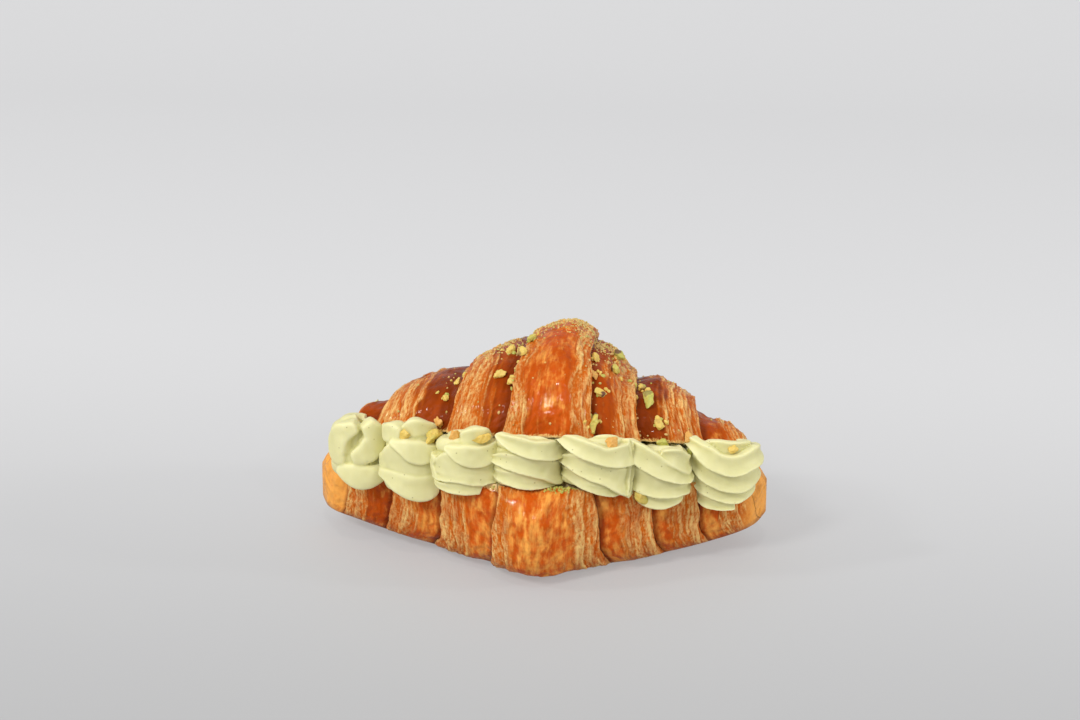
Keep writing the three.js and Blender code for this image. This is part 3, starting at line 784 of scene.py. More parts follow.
# Fibres and flakes on the layers, and blisters and wrinkles that catch the light everywhere.
flaky = weighted(dough, (fibre, 1.0), (fleck, 0.9))
flaky = maths(dough, "MULTIPLY", flaky, weighted(dough, (layered, 0.85), plus=0.1))
wrinkle = roll_cloud(0.42, 0.15, 1.0, 0.3)
blister = roll_cloud(0.5, 0.4, 1.0, 0.3)
pores = cloud(dough, dough_place, 900.0)
relief = weighted(dough, (flaky, 1.0), (pores, 0.08), (wrinkle, 1.6), (blister, 1.0))
put_out(dough, Colour=dough_colour, Roughness=dough_rough, Height=relief, Glaze=glaze)

# %% Two bakes of the same dough: the upper half stood nearer the heat
DOUGH_SHINE = {"Coat Roughness": 0.08, "Coat IOR": 1.28, "Specular IOR Level": 0.05}
for piece, name, toast in ((base_piece, "baked_dough_lower", 0.1), (lid_piece, "baked_dough_upper", 0.42)):
    finish = group_finish(name, dough, DOUGH_SHINE, bump=1.0, bump_mm=0.9, Toast=toast)
    piece.data.materials.append(finish)
    print(piece.name, "is finished with", name)

# %% [markdown]
# ## Piped cream
# Each rosette is one rope of pistachio cream pressed through a star tip and wound up, with a tail where the
# bag was pulled away. A modelled cone with grooves never shows the ribbon folds of a real one, so the rope
# itself is wound here, by one Geometry Nodes tree that every rosette uses with its own numbers. On the front
# the soft rope lies in broad folds that no winding gives, so those are ribbons laid over it, and both are
# fused into one skin.


# %% The rope-winding tree
def new_shape_tree(name, inputs):
    """A Geometry Nodes tree with one shape as its output. inputs are (name, kind) rows."""
    tree = bpy.data.node_groups.new(name, "GeometryNodeTree")
    for label, kind in inputs:
        tree.interface.new_socket(label, in_out="INPUT", socket_type=kind)
    tree.interface.new_socket("Geometry", in_out="OUTPUT", socket_type="NodeSocketGeometry")
    return tree, tree.nodes.new("NodeGroupInput").outputs


def end_shape_tree(tree, shape, finish):
    """Real faces in place of instances, then the finish."""
    real = result(tree, "GeometryNodeRealizeInstances", Geometry=shape)
    finished = result(tree, "GeometryNodeSetMaterial", Geometry=real, Material=finish)
    tree.links.new(finished, tree.nodes.new("NodeGroupOutput").inputs[0])


def star_profile(tree, radius, fins, depth):
    """The tip's outline: rounded lobes with sharp creases between."""
    circle = result(tree, "GeometryNodeCurvePrimitiveCircle", Resolution=112, Radius=1.0)
    factor = add_node(tree, "GeometryNodeSplineParameter").outputs["Factor"]
    wave = maths(tree, "MULTIPLY", maths(tree, "MULTIPLY", factor, fins), math.pi)
    lobe = maths(tree, "POWER", maths(tree, "ABSOLUTE", maths(tree, "SINE", wave)), 0.7)
    crease = maths(tree, "MULTIPLY", maths(tree, "SUBTRACT", 1.0, lobe), depth)
    reach = maths(tree, "MULTIPLY", maths(tree, "SUBTRACT", 1.0, crease), radius)
    place = result(tree, "GeometryNodeInputPosition")
    spread = result(tree, "ShaderNodeVectorMath", {"operation": "SCALE"}, in0=place, Scale=reach)
    return result(tree, "GeometryNodeSetPosition", Geometry=circle, Position=spread)


def build_rosette_tree():
    coil = ("Coil radius", "Rope radius", "Rise", "Turns", "Top share")
    numbers = (*coil, "Start", "Fins", "Fin depth", "Lean", "Tail")
    inputs = [(label, FLOAT) for label in numbers] + [("Place", VECTOR), ("Finish", "NodeSocketMaterial")]
    tree, given = new_shape_tree("piped_rosette", inputs)
    spiral = result(
        tree,
        "GeometryNodeCurveSpiral",
        Resolution=48,
        Rotations=given["Turns"],
        Start_Radius=given["Coil radius"],
        End_Radius=maths(tree, "MULTIPLY", given["Coil radius"], given["Top share"]),
        Height=given["Rise"],
        Reverse=True,
    )
    upright = result(tree, "GeometryNodeSetCurveNormal", {"mode": "Z_UP"}, Curve=spiral)
    along = add_node(tree, "GeometryNodeSplineParameter").outputs["Factor"]
    start = ramp(tree, along, 0.0, 0.06, bottom=0.8)
    tail = ramp(tree, along, 0.8, 1.0, bottom=1.0, top=given["Tail"])
    rope = result(
        tree,
        "GeometryNodeCurveToMesh",
        Curve=upright,
        Profile_Curve=star_profile(tree, given["Rope radius"], given["Fins"], given["Fin depth"]),
        Scale=maths(tree, "MULTIPLY", start, tail),
        Fill_Caps=True,
    )
    spin = result(tree, "ShaderNodeCombineXYZ", Z=given["Start"])
    spun = result(tree, "GeometryNodeTransform", Geometry=rope, Rotation=spin)
    tilt = result(tree, "ShaderNodeCombineXYZ", Y=given["Lean"])
    placed = result(tree, "GeometryNodeTransform", Geometry=spun, Translation=given["Place"], Rotation=tilt)
    end_shape_tree(tree, placed, given["Finish"])
    return tree


rosette_tree = build_rosette_tree()
print("rosette tree has", len(rosette_tree.nodes), "nodes")


# %% From live modifiers to a plain mesh
def keep_result(piece):
    """Makes what the modifiers show the piece's own plain mesh, and removes them."""
    mesh = bpy.data.meshes.new_from_object(piece.evaluated_get(bpy.context.evaluated_depsgraph_get()))
    piece.modifiers.clear()
    piece.data = mesh
    mesh.name = piece.name


def run_tree(piece, tree, values):
    """Runs a Geometry Nodes tree on a piece, with the values of its inputs by name."""
    live = piece.modifiers.new("shape", "NODES")
    live.node_group = tree
    for item in tree.interface.items_tree:
        if item.in_out == "INPUT" and item.name in values:
            live[item.identifier] = values[item.name]
    keep_result(piece)


def fuse(piece, voxel_mm):
    """Melts everything that overlaps into one skin of small even faces."""
    melt = piece.modifiers.new("fuse", "REMESH")
    melt.mode = "VOXEL"
    melt.voxel_size = voxel_mm * MM
    keep_result(piece)


# %% Work on a mesh's points
def get_points(piece):
    """A piece's points in the outline's millimetres."""
    flat = np.empty(len(piece.data.vertices) * 3, np.float32)
    piece.data.vertices.foreach_get("co", flat)
    return flat.reshape(-1, 3).astype(float) / MM - SHIFT


def set_points(piece, points):
    piece.data.vertices.foreach_set("co", ((points + SHIFT) * MM).astype(np.float32).ravel())
    piece.data.update()


def eased(piece, rounds):
    """The points of a softer piece: in each round every point moves half way to its neighbours' average."""
    points = get_points(piece)
    pairs = np.empty(len(piece.data.edges) * 2, np.int32)
    piece.data.edges.foreach_get("vertices", pairs)
    a, b = pairs.reshape(-1, 2).T
    size = len(points)
    count = np.maximum(np.bincount(a, minlength=size) + np.bincount(b, minlength=size), 1)
    for _ in range(rounds):
        total = [np.bincount(a, axis[b], size) + np.bincount(b, axis[a], size) for axis in points.T]
        points = 0.5 * points + 0.5 * np.stack(total, 1) / count[:, None]
    return points


def hollowness(piece, rounds=6):
    """How many millimetres each point sits below (or, if negative, above) the softened surface."""
    normals = np.empty(len(piece.data.vertices) * 3, np.float32)
    piece.data.vertices.foreach_get("normal", normals)
    return ((eased(piece, rounds) - get_points(piece)) * normals.reshape(-1, 3)).sum(1)


def save_attribute(piece, name, values):
    piece.data.attributes.new(name, "FLOAT", "POINT").data.foreach_set("value", values.astype(np.float32))


# %% How cream meets the crusts
def base_top(x, y):
    """Height of the lower half's upper surface, rim included."""
    half, cut, foot, rim = base_half(x), base_cut(x), base_foot(x), base_rim(x)
    equator = foot + (cut - foot) * BASE_EQUATOR
    past = np.clip((np.abs(y) - rim) / np.maximum(half - rim, 0.1), 0, 1)
    return equator + (cut - equator) * np.sqrt(1 - past**2)


def lid_front(x):
    """How far forward the upper half's cut edge reaches."""
    return HINGE_Y - (lid_half(x - LID_SHIFT_X) + HINGE_Y) * math.cos(LID_TILT)


def soft_floor(value, floor, blend=0.8):
    return floor + np.logaddexp(0, (value - floor) / blend) * blend


ROOF_ENDS = 64  # past this distance from its middle, the upper half presses on no cream
NO_ROOF = 99


def settle_cream(points, seed, sag, proud):
    """Cream wobbles, sags over the rim, rests on the lower half and is pressed flat under the upper one."""
    wobble = np.stack([noise(points / 8 + k * 31, seed + k) for k in range(3)], 1)
    small = np.stack([noise(points / 2.6 + k * 17, seed + 5 + k) for k in range(3)], 1)
    points = points + 0.5 * wobble + 0.14 * small
    x, y, z = points.T
    over = np.maximum(-y - base_rim(x), 0)
    z = z - sag * smoothstep(0, 7, over) * (1 - smoothstep(34, 46, z))
    z = soft_floor(z, base_top(x, y) + 0.1)
    roof = lid_underside(x, y) - 0.4 + proud * np.maximum(lid_front(x) - y - 0.5, 0)
    roof = np.where(np.abs(x - LID_SHIFT_X) < ROOF_ENDS, roof, NO_ROOF)
    z = -soft_floor(-z, -roof, 0.5)
    return np.stack([x, y, z], 1)


# %% Cream: the finish
cream, given = new_group(
    "pistachio_cream",
    [("Cream", COLOUR, (0.76, 0.72, 0.38, 1)), ("Crease shade", COLOUR, (0.52, 0.49, 0.15, 1))],
    [("Colour", COLOUR), ("Roughness", FLOAT), ("Height", FLOAT)],
)
SPECK = (0.22, 0.16, 0.04, 1)
cream_place = add_node(cream, "ShaderNodeTexCoord").outputs["Object"]
drift = cloud(cream, cream_place, 130.0)
# Cream that sits in a crease or hollow is painted towards the darker colour, which is painted shade, over a
# slow drift in tone.
crease_shade_and_drift = weighted(cream, (attribute(cream, "hollow"), 7.0), (drift, 0.35))
cream_colour = blend_colour(cream, crease_shade_and_drift, given["Cream"], given["Crease shade"])
# Half of the cells hold a speck of ground nut in their middle.
cells = add_node(cream, "ShaderNodeTexVoronoi", None, Vector=cream_place, Scale=420.0)
chance = result(cream, "ShaderNodeSeparateColor", in0=cells.outputs["Color"])
picked = ramp(cream, chance, 0.5, 0.52, top=0.55)
speck = maths(cream, "MULTIPLY", ramp(cream, cells.outputs["Distance"], 0.13, 0.06), picked)
cream_colour = blend_colour(cream, speck, cream_colour, SPECK)
satin = weighted(cream, (drift, 0.2), plus=0.34)
put_out(cream, Colour=cream_colour, Roughness=satin, Height=cloud(cream, cream_place, 1100.0))
CREAM_BODY = {
    "Subsurface Weight": 0.22,
    "Subsurface Radius": (1.0, 0.85, 0.45),
    "Subsurface Scale": 0.003,
    "Specular IOR Level": 0.4,
}
cream_finish = group_finish("pistachio_cream", cream, CREAM_BODY, bump=0.25, bump_mm=0.2)

# %% The folds laid over the front of each rosette
# For each rosette: the front's radius, how many rounds of softening it gets, how crisp it is, then one row
# per fold: how far out it sits, how puffed it is, how far its upper lip leans out, and its line as (sideways,
# height, width) stops.
FOLDS = {
    "cream_rosette_1": (11, 12, 0.1, [
        (0.6, 2.2, 0, ((-7, 31, 8), (-8, 36, 9.5), (-5.5, 41.5, 8), (0.5, 45, 6))),
        (0.9, 2.0, 0, ((3.5, 46, 6), (6.5, 41, 8), (4, 36, 8), (-2, 33.8, 5))),
        (0.5, 2.8, 0.4, ((-8, 29.4, 4), (-3, 28.4, 8.5), (3, 27, 9), (10, 28.6, 6))),
    ]),
    "cream_rosette_2": (11, 8, 0.35, [
        (-1.0, 2.0, 0, ((-10.5, 44.4, 6), (-7.5, 45.4, 7), (-4, 44, 7))),
        (-2.6, 1.6, 0, ((-3, 45.4, 6), (3, 47, 6), (11, 46, 4))),
        (0.7, 1.8, 0.8, ((-7, 43.4, 2), (-2, 41.8, 5), (3, 39.9, 7.5), (8, 39.4, 6), (12.6, 39.6, 3))),
        (0.0, 1.8, 0, ((-11.5, 34.5, 5), (-6, 37.4, 10), (1, 35.8, 10), (9.5, 34.2, 7))),
        (0.5, 2.2, 0.3, ((-9.5, 31, 4), (-3, 29.2, 8), (4, 27.4, 9.5), (10, 29.4, 6))),
    ]),
    "cream_rosette_3": (11.5, 5, 0.5, [
        (-2.4, 1.6, 0, ((-2, 48.2, 5), (5, 48.4, 6), (12, 48.2, 5))),
        (0.7, 1.5, 0.9, ((-6.8, 45.2, 2.2), (0, 43.2, 6.5), (6, 42.2, 7), (12.6, 43.8, 5.5))),
        (0.0, 1.7, 0, ((-11.5, 36.6, 4), (-6, 38.8, 8.5), (1, 37.8, 7), (11, 36.8, 6.5))),
        (0.9, 1.0, 0.5, ((-10, 33.6, 1.6), (-1, 35.1, 3.4), (6, 34.1, 3.6), (11.4, 31.8, 2.4))),
        (-0.2, 1.7, 0, ((-9.5, 30.6, 3), (-2, 31.4, 4.8), (5, 31.4, 4.4), (11, 31, 3))),
        (1.0, 1.0, 0, ((-11, 39.5, 1.8), (-11.8, 36.5, 2.8), (-10, 33, 2))),
    ]),
    "cream_rosette_4": (12, 2, 1, [
        (1.0, 1.2, 0.8, ((-9, 51.4, 2), (-2, 49, 5.4), (5, 46.8, 6), (10, 45.4, 6.6), (12.8, 45.4, 6.4))),
        (0.1, 1.2, 0.4, ((-13.4, 40.9, 1.2), (-6, 42.6, 5.2), (2, 41.5, 6), (8, 39.2, 6.5), (12.8, 36.4, 9))),
        (-1.0, 1.2, 0.1, ((-10.4, 36.2, 3.6), (-1, 36.2, 6), (6, 35, 5.4), (11.6, 33.2, 3.2))),
    ]),
    "cream_rosette_5": (12, 2, 1, [
        (1.1, 1.2, 0.8, ((-11.4, 50.8, 2), (-6, 49, 5), (0, 46.9, 6), (6, 44.7, 5.8), (12.6, 43.8, 8.5))),
        (0, 1.2, 0.5, ((-12.8, 42.2, 1.2), (-6, 42.4, 5.6), (1, 40.2, 6.4), (7, 37.8, 7.2), (12.4, 34, 10))),
        (-1.2, 1.2, 0.1, ((-10.4, 37.4, 4), (-3, 36.2, 6), (3, 34.4, 5.8), (9.4, 31.8, 4))),
        (1.0, 1.0, 0, ((12.2, 49.2, 2), (13.2, 42, 3.4), (12.8, 34, 3), (12.2, 29.6, 1.6))),
    ]),
    "cream_rosette_6": (11.5, 2, 1, [
        (1.1, 1.2, 0.8, ((-11.8, 48.4, 2), (-6.5, 44.6, 6), (0, 41, 7), (6, 37.2, 5.4), (12, 33.8, 4))),
        (0.0, 1.6, 0.4, ((3, 43.6, 4), (8, 41.6, 6.4), (12.4, 37.8, 6.4))),
        (0.0, 1.2, 0.5, ((-12, 34, 7.5), (-6, 34.6, 8.4), (1, 32.6, 7.4), (7, 30.9, 5.6), (12.4, 29.6, 4))),
        (-1.2, 1.2, 0.1, ((-8.6, 27.6, 4), (-1, 27.4, 6), (5, 26.6, 5.4), (9.6, 26.6, 4))),
    ]),
    "cream_rosette_7": (12, 3, 1, [
        (-2.4, 1.4, 0.3, ((-8, 42.4, 4), (-2, 41.6, 6), (5, 40.8, 6), (11.5, 40.8, 5))),
        (1.1, 1.2, 0.8, ((-10.8, 43.8, 3), (-5, 40.4, 6), (0, 37.8, 5.8), (6, 36.6, 6.5), (12.6, 38.8, 7))),
        (0.3, 1.2, 0.5, (
            (-12.2, 39.8, 1.6), (-8, 35.8, 4.4), (-3, 32.8, 5), (3, 30.8, 6), (9, 30.6, 7), (13, 32.6, 6),
        )),
        (-0.6, 1.4, 0.3, ((-12.2, 31.6, 2), (-6, 29, 5), (0, 27, 5), (6, 25.4, 4.6), (11.4, 26.8, 4.6))),
        (-1.2, 1.4, 0, ((-11.8, 26.8, 2), (-6, 23.9, 4.6), (0, 22.3, 4.6), (7, 21.4, 4))),
    ]),
}  # fmt: skip


def through_stops(stops, count):
    """An even walk along the smooth line through a few stops."""
    stops = np.array(stops, float)
    ends = np.vstack([2 * stops[0] - stops[1], stops, 2 * stops[-1] - stops[-2]])
    t = np.linspace(0, len(stops) - 1 - 1e-6, count)
    k = t.astype(int)
    u = (t - k)[:, None]
    a, b, c, d = ends[k], ends[k + 1], ends[k + 2], ends[k + 3]
    return 0.5 * (2 * b + (c - a) * u + (2 * a - 5 * b + 4 * c - d) * u**2 + (3 * b - a - 3 * c + d) * u**3)


SIDE_ANGLE = 0.75  # an end further round than this (radians from the front) has reached the side
SIDE_RUN = 0.9  # it then runs on round the rope this much further


def run_round_the_side(angle, height, width):
    """The line with its side ends carried on round the rope, ever thinner, and how deep it has sunk in."""
    sunk = np.zeros(len(angle))
    run = np.linspace(0, 1, 15)[1:]
    for way in (1, -1):
        a, h, w = (values[::way][-1] for values in (angle, height, width))
        if way * a > SIDE_ANGLE:
            kept = (angle, height, width, sunk)
            added = (a + way * SIDE_RUN * run, h + 0 * run, w * (1 - 0.7 * run), 3 * run**2)
            angle, height, width, sunk = (np.concatenate([k[::way], n])[::way] for k, n in zip(kept, added))
    return angle, height, width, sunk


def fold_mesh(name, centre, radius, crisp, out, puff, lip, stops, steps=44, sides=32):
    """A ribbon that lies on the outside of a rosette. Soft ones are puffed, crisp ones have hollow faces."""
    sideways, height, width = through_stops(stops, steps).T
    angle = np.arcsin(np.clip(sideways / (radius + 1.6), -0.98, 0.98))
    angle, height, width, sunk = run_round_the_side(angle, height, width)
    steps = len(angle)
    level = np.zeros(steps)
    outward = np.stack([np.sin(angle), -np.cos(angle), level], 1)
    line = np.stack([level, level, height], 1) + outward * radius + [centre[0], centre[1], 0]
    forward = np.gradient(line, axis=0)
    forward /= np.linalg.norm(forward, axis=1)[:, None]
    upward = np.cross(forward, outward)
    upward /= np.linalg.norm(upward, axis=1)[:, None]
    t = np.linspace(0, 1, steps)
    taper = (np.clip(4 * t * (1 - t), 0, 1) ** 0.16)[:, None]
    round_it = np.linspace(0, 2 * math.pi, sides, endpoint=False)
    half_width = width[:, None] / 2 * taper * np.cos(round_it)
    soft_face = np.abs(np.sin(round_it)) ** 0.55
    crisp_face = (0.3 + 1.0 * np.cos(round_it) ** 2) * np.abs(np.sin(round_it)) ** 0.3
    face = puff * mix(soft_face, crisp_face, crisp)
    bulge = np.where(np.sin(round_it) > 0, face, (4 * crisp - 7) * soft_face)
    depth = out - sunk[:, None] + bulge * (0.35 + 0.65 * taper) + lip * np.cos(round_it) * taper
    rings = line[:, None] + upward[:, None] * half_width[..., None] + outward[:, None] * depth[..., None]
    points = np.vstack([rings.reshape(-1, 3), line[0], line[-1]])
    return mesh_object(name, points, [ring_faces(steps, sides), tip_fans(steps, sides, steps * sides)])


# %% Wind the nine rosettes
# node, place x and y, foot, coil radius, rope radius, rise, turns, top share, start, fin depth, lean, tail, sag
# over the rim, rise allowed per millimetre in front of the upper half
ROSETTES = [
    ("cream_rosette_left_end", -59, 9, 21, 5.0, 6.4, 13, 1.8, 0.4, 330, 0.3, 0, 0.3, 0, 3),
    ("cream_rosette_1", -60.5, -13.5, 20.0, 5.4, 7.0, 14, 1.75, 0.75, 20, 0.1, -4, 0.9, 0.3, 4),
    ("cream_rosette_2", -41, -23, 19.5, 4.6, 6.8, 17, 1.8, 0.8, 100, 0.12, 2, 0.8, 0.5, 3),
    ("cream_rosette_3", -21.2, -31, 24.0, 5.2, 6.6, 16, 1.95, 0.8, 70, 0.2, -2, 0.5, 0.2, 2),
    ("cream_rosette_4", -1.8, -34, 28.0, 5.8, 6.4, 16, 1.95, 0.8, 120, 0.22, 3, 0.5, 0, 1.4),
    ("cream_rosette_5", 20.6, -32.5, 26.2, 5.8, 6.4, 16, 1.95, 0.8, 60, 0.22, 8, 0.5, 0.5, 1.4),
    ("cream_rosette_6", 39.8, -24, 21.0, 5.6, 6.2, 15, 1.95, 0.75, 90, 0.24, 14, 0.4, 0.3, 2),
    ("cream_rosette_7", 61.4, -13, 17.4, 5.8, 6.4, 15, 1.9, 0.7, 110, 0.24, 12, 0.4, 0.2, 4),
    ("cream_rosette_right_end", 57, 10, 20.5, 5.0, 6.4, 12, 1.8, 0.4, 210, 0.3, 0, 0.3, 0, 3),
]
STAR_POINTS = 6.0
ROPE_LYING = 0.92  # the middle of a lying rope is this many of its radii over the foot
CREAM_VOXEL = 0.3  # millimetres between the points of the fused skin


def join_and_fuse(name, parts, voxel_mm):
    """Joins parts into one piece and fuses them into a single skin."""
    joined = bmesh.new()
    for part in parts:
        joined.from_mesh(part.data)
        bpy.data.objects.remove(part)
    piece = new_piece(name, bpy.data.meshes.new(name))
    joined.to_mesh(piece.data)
    joined.free()
    fuse(piece, voxel_mm)
    return piece


cream_pieces = {}
for k, row in enumerate(ROSETTES):
    node, x, y, foot, coil, rope, rise, turns, top, start, depth, lean, tail, sag, proud = row
    place_mm = np.array([x, y, foot + ROPE_LYING * rope]) + SHIFT
    values = {
        "Coil radius": coil * MM,
        "Rope radius": rope * MM,
        "Rise": rise * MM,
        "Turns": turns,
        "Top share": top,
        "Start": math.radians(start),
        "Fins": STAR_POINTS,
        "Fin depth": depth,
        "Lean": math.radians(lean),
        "Tail": tail,
        "Place": tuple(place_mm * MM),
        "Finish": cream_finish,
    }
    radius, soft_rounds, crisp, folds = FOLDS.get(node, (0, 3, 0, []))
    rope_piece = new_piece("coil", bpy.data.meshes.new("coil"))
    run_tree(rope_piece, rosette_tree, values)
    parts = [rope_piece] + [fold_mesh("fold", (x, y), radius, crisp, *fold) for fold in folds]
    piece = join_and_fuse("piped_" + node, parts, CREAM_VOXEL)
    set_points(piece, eased(piece, soft_rounds))
    set_points(piece, settle_cream(get_points(piece), 100 + 10 * k, sag, proud))
    save_attribute(piece, "hollow", hollowness(piece))
    piece.data.shade_smooth()
    piece.data.materials.clear()
    piece.data.materials.append(cream_finish)
    cream_pieces[node] = piece
    print(piece.name, triangle_count(piece), "triangles")

# %% [markdown]
# ## Chopped pistachios
# Kernels chopped with a knife: flat cleaved faces, rounded original sides, and scraps of thin purple-brown
# skin. A scatter of one repeated chip would show, so each of the larger pieces starts from its own lump in
# the frame, is cleaved by its own planes and roughened. The shards round them, the finest dust and the crumbs
# are Geometry Nodes scatters of small chips.

# %% Pistachio: the finish
pistachio, given = new_group(
    "chopped_pistachio",
    [
        ("Yellow", COLOUR, (0.70, 0.46, 0.06, 1)),
        ("Green", COLOUR, (0.36, 0.40, 0.035, 1)),
        ("Toasted", COLOUR, (0.70, 0.30, 0.03, 1)),
        ("Skin", COLOUR, (0.16, 0.06, 0.035, 1)),
    ],
    [("Colour", COLOUR), ("Roughness", FLOAT), ("Height", FLOAT)],
)
PALE_NUT = (0.93, 0.78, 0.33, 1)
nut_place = add_node(pistachio, "ShaderNodeTexCoord").outputs["Object"]
tint = attribute(pistachio, "tint")
patchy = weighted(pistachio, (cloud(pistachio, nut_place, 420.0), 0.55), (tint, 1.0), plus=-0.275)
nut_colour = blend_colour(pistachio, ramp(pistachio, patchy, 0.25, 0.7), given["Yellow"], given["Green"])
nut_colour = blend_colour(pistachio, ramp(pistachio, tint, 0.9, 0.95), nut_colour, given["Toasted"])
mottle = cloud(pistachio, nut_place, 1500.0, detail=4.0, rough=0.6)
nut_colour = blend_colour(pistachio, maths(pistachio, "MULTIPLY", mottle, 0.4), nut_colour, PALE_NUT)
nut_colour = blend_colour(pistachio, attribute(pistachio, "peel"), nut_colour, given["Skin"])
chalky = weighted(pistachio, (mottle, 0.25), plus=0.38)
put_out(pistachio, Colour=nut_colour, Roughness=chalky, Height=mottle)
NUT_BODY = {"Subsurface Weight": 0.1, "Subsurface Radius": (1.0, 0.8, 0.3), "Subsurface Scale": 0.001}
DUST_COLOURS = {"Yellow": (0.62, 0.37, 0.11, 1), "Green": (0.42, 0.36, 0.07, 1)}
nut_finish = group_finish("chopped_pistachio", pistachio, NUT_BODY, bump=0.5, bump_mm=0.2)
dust_finish = group_finish("pistachio_dust", pistachio, NUT_BODY, bump=0.5, bump_mm=0.2, **DUST_COLOURS)
print("finishes", cream_finish.name, nut_finish.name, dust_finish.name)


# %% Cleave each larger piece from its lump
def lump_copy(name, node, voxel_mm):
    """A finely meshed copy of a frame node."""
    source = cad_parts[node]
    mesh = source.data.copy()
    mesh.materials.clear()
    mesh.transform(source.matrix_world)
    piece = new_piece(name, mesh)
    fuse(piece, voxel_mm)
    piece.data.shade_smooth()
    return piece


NUT_VOXEL = 0.16  # millimetres
CLEAVED_FACES = 6
# Each nut grows before it is cleaved, because the planes take some of it off. Two are larger than the rest.
NUT_GROWTH = 1.2
LARGE_NUTS = {"pistachio_cream_2": 1.45, "pistachio_cream_6": 1.7}


def chopped_nut(node, tint, peel_share, seed):
    piece = lump_copy("chopped_" + node, node, NUT_VOXEL)
    random = np.random.default_rng(seed)
    points = get_points(piece)
    centre = (points.min(0) + points.max(0)) / 2
    points = (points - centre) * LARGE_NUTS.get(node, NUT_GROWTH)
    for _ in range(CLEAVED_FACES):
        way = random.normal(size=3)
        way /= np.linalg.norm(way)
        height = points @ way
        limit = height.max() * random.uniform(0.45, 0.8)
        points = points - way * np.maximum(height - limit, 0)[:, None] * 0.97
    rough = 0.34 * rough_noise(points / 1.5 + seed, 3, seed) + 0.12 * noise(points / 0.45, seed + 1)
    size = np.linalg.norm(points, axis=1)
    points = points * (1 + rough / np.maximum(size, 0.5))[:, None]
    # The skin is left on one side, mostly the upper front one.
    side = random.normal(size=3) + np.array([0, -0.5, 0.6])
    side /= np.linalg.norm(side)
    patch = points @ side / np.abs(points @ side).max() + 0.5 * noise(points / 1.2, seed + 3)
    set_points(piece, points + centre)
    save_attribute(piece, "tint", np.full(len(points), tint))
    save_attribute(piece, "peel", peel_share * smoothstep(0.55, 0.75, patch))
    piece.data.materials.append(nut_finish)
    return piece


# The tint runs from yellow (0) to green (0.8), and 1 is toasted orange. The second number is how dark the
# skin is.
LID_NUT_LOOKS = [
    (0.1, 0.5), (0.2, 0), (0.35, 0.8), (0.3, 0.6), (0.5, 0.9), (0.2, 0), (0.15, 0), (0.1, 0), (1, 0),
    (0.3, 1), (0.6, 0.9), (0.5, 0.8), (0.3, 0.5), (0.6, 0.5), (0.5, 0.9), (0.1, 0.3), (1, 0), (1, 0),
]  # fmt: skip
CREAM_NUT_LOOKS = [(0.1, 0), (0.4, 0.2), (1, 0), (0.25, 0), (1, 0), (0.4, 0), (0.6, 0), (0.7, 0.4), (0.2, 0)]


def surface_of(pieces):
    points, faces = [], []
    for piece in pieces:
        start = len(points)
        points.extend(v.co.copy() for v in piece.data.vertices)
        faces.extend([start + i for i in p.vertices] for p in piece.data.polygons)
    return BVHTree.FromPolygons(points, faces)


THROWN_FROM = 40  # millimetres in front of its spot
THROWN_WAY = Vector((0.12, 0.88, -0.45)).normalized()
SLOPE_REACH = 1.5  # the slope at a spot is averaged this many millimetres round it


def press_onto(piece, surface, sunk, thrown):
    """Moves a nut onto the surface, straight or thrown from the front, and presses it in by a share."""
    points = get_points(piece)
    centre = Vector((points.mean(0) + SHIFT) * MM)
    spot = surface.find_nearest(centre)[0]
    if thrown:
        spot = surface.ray_cast(centre - THROWN_FROM * MM * THROWN_WAY, THROWN_WAY)[0] or spot
    normals = [hit[1] for hit in surface.find_nearest_range(spot, SLOPE_REACH * MM)]
    normal = np.array(sum(normals, Vector()).normalized())
    spot_mm = np.array(spot) / MM - SHIFT
    height = (points - spot_mm) @ normal
    thickness = height.max() - height.min()
    if thrown:
        shift = spot_mm - points.mean(0) + normal * (0.5 - sunk) * thickness
    else:
        shift = normal * (-height.min() - sunk * thickness)
    set_points(piece, points + shift)
    return np.linalg.norm(shift)


nut_pieces, moves = {}, []
crust_surface = surface_of([lid_piece])
cream_surface = surface_of([cream_pieces[f"cream_rosette_{k}"] for k in (2, 3, 5, 6, 7)])
for group_name, looks, surface, sunk in (
    ("pistachio_lid", LID_NUT_LOOKS, crust_surface, 0.14),
    ("pistachio_cream", CREAM_NUT_LOOKS, cream_surface, 0.22),
):
    for k, (tint_value, peel_share) in enumerate(looks):
        node = f"{group_name}_{k + 1}"
        nut_pieces[node] = chopped_nut(node, tint_value, peel_share, 200 + 7 * k + len(group_name))
        moves.append(press_onto(nut_pieces[node], surface, sunk, "cream" in group_name))
print("nuts settled by", np.round(moves, 1), "mm")
print("nuts", len(nut_pieces), "triangles", sum(triangle_count(p) for p in nut_pieces.values()))


# %% The bed of cream behind the rosettes
bed = lump_copy("cream_bed", "cream_filling", 0.6)
bed_points = get_points(bed)
swell = np.stack([noise(bed_points / 6 + 9 * k, 60 + k) for k in range(3)], 1)
set_points(bed, bed_points + 0.5 * swell)
save_attribute(bed, "hollow", hollowness(bed))
bed.data.materials.append(cream_finish)
print("bed of cream", triangle_count(bed), "triangles")


# %% Shards, dust and crumbs: the scatter tree
def random_value(tree, seed, **limits):
    """A random number, or a random vector where the limits are vectors, for each chip."""
    kind = "FLOAT" if "in2" in limits else "FLOAT_VECTOR"
    node = add_node(tree, "FunctionNodeRandomValue", {"data_type": kind}, Seed=seed, **limits)
    return node.outputs[1 if kind == "FLOAT" else 0]


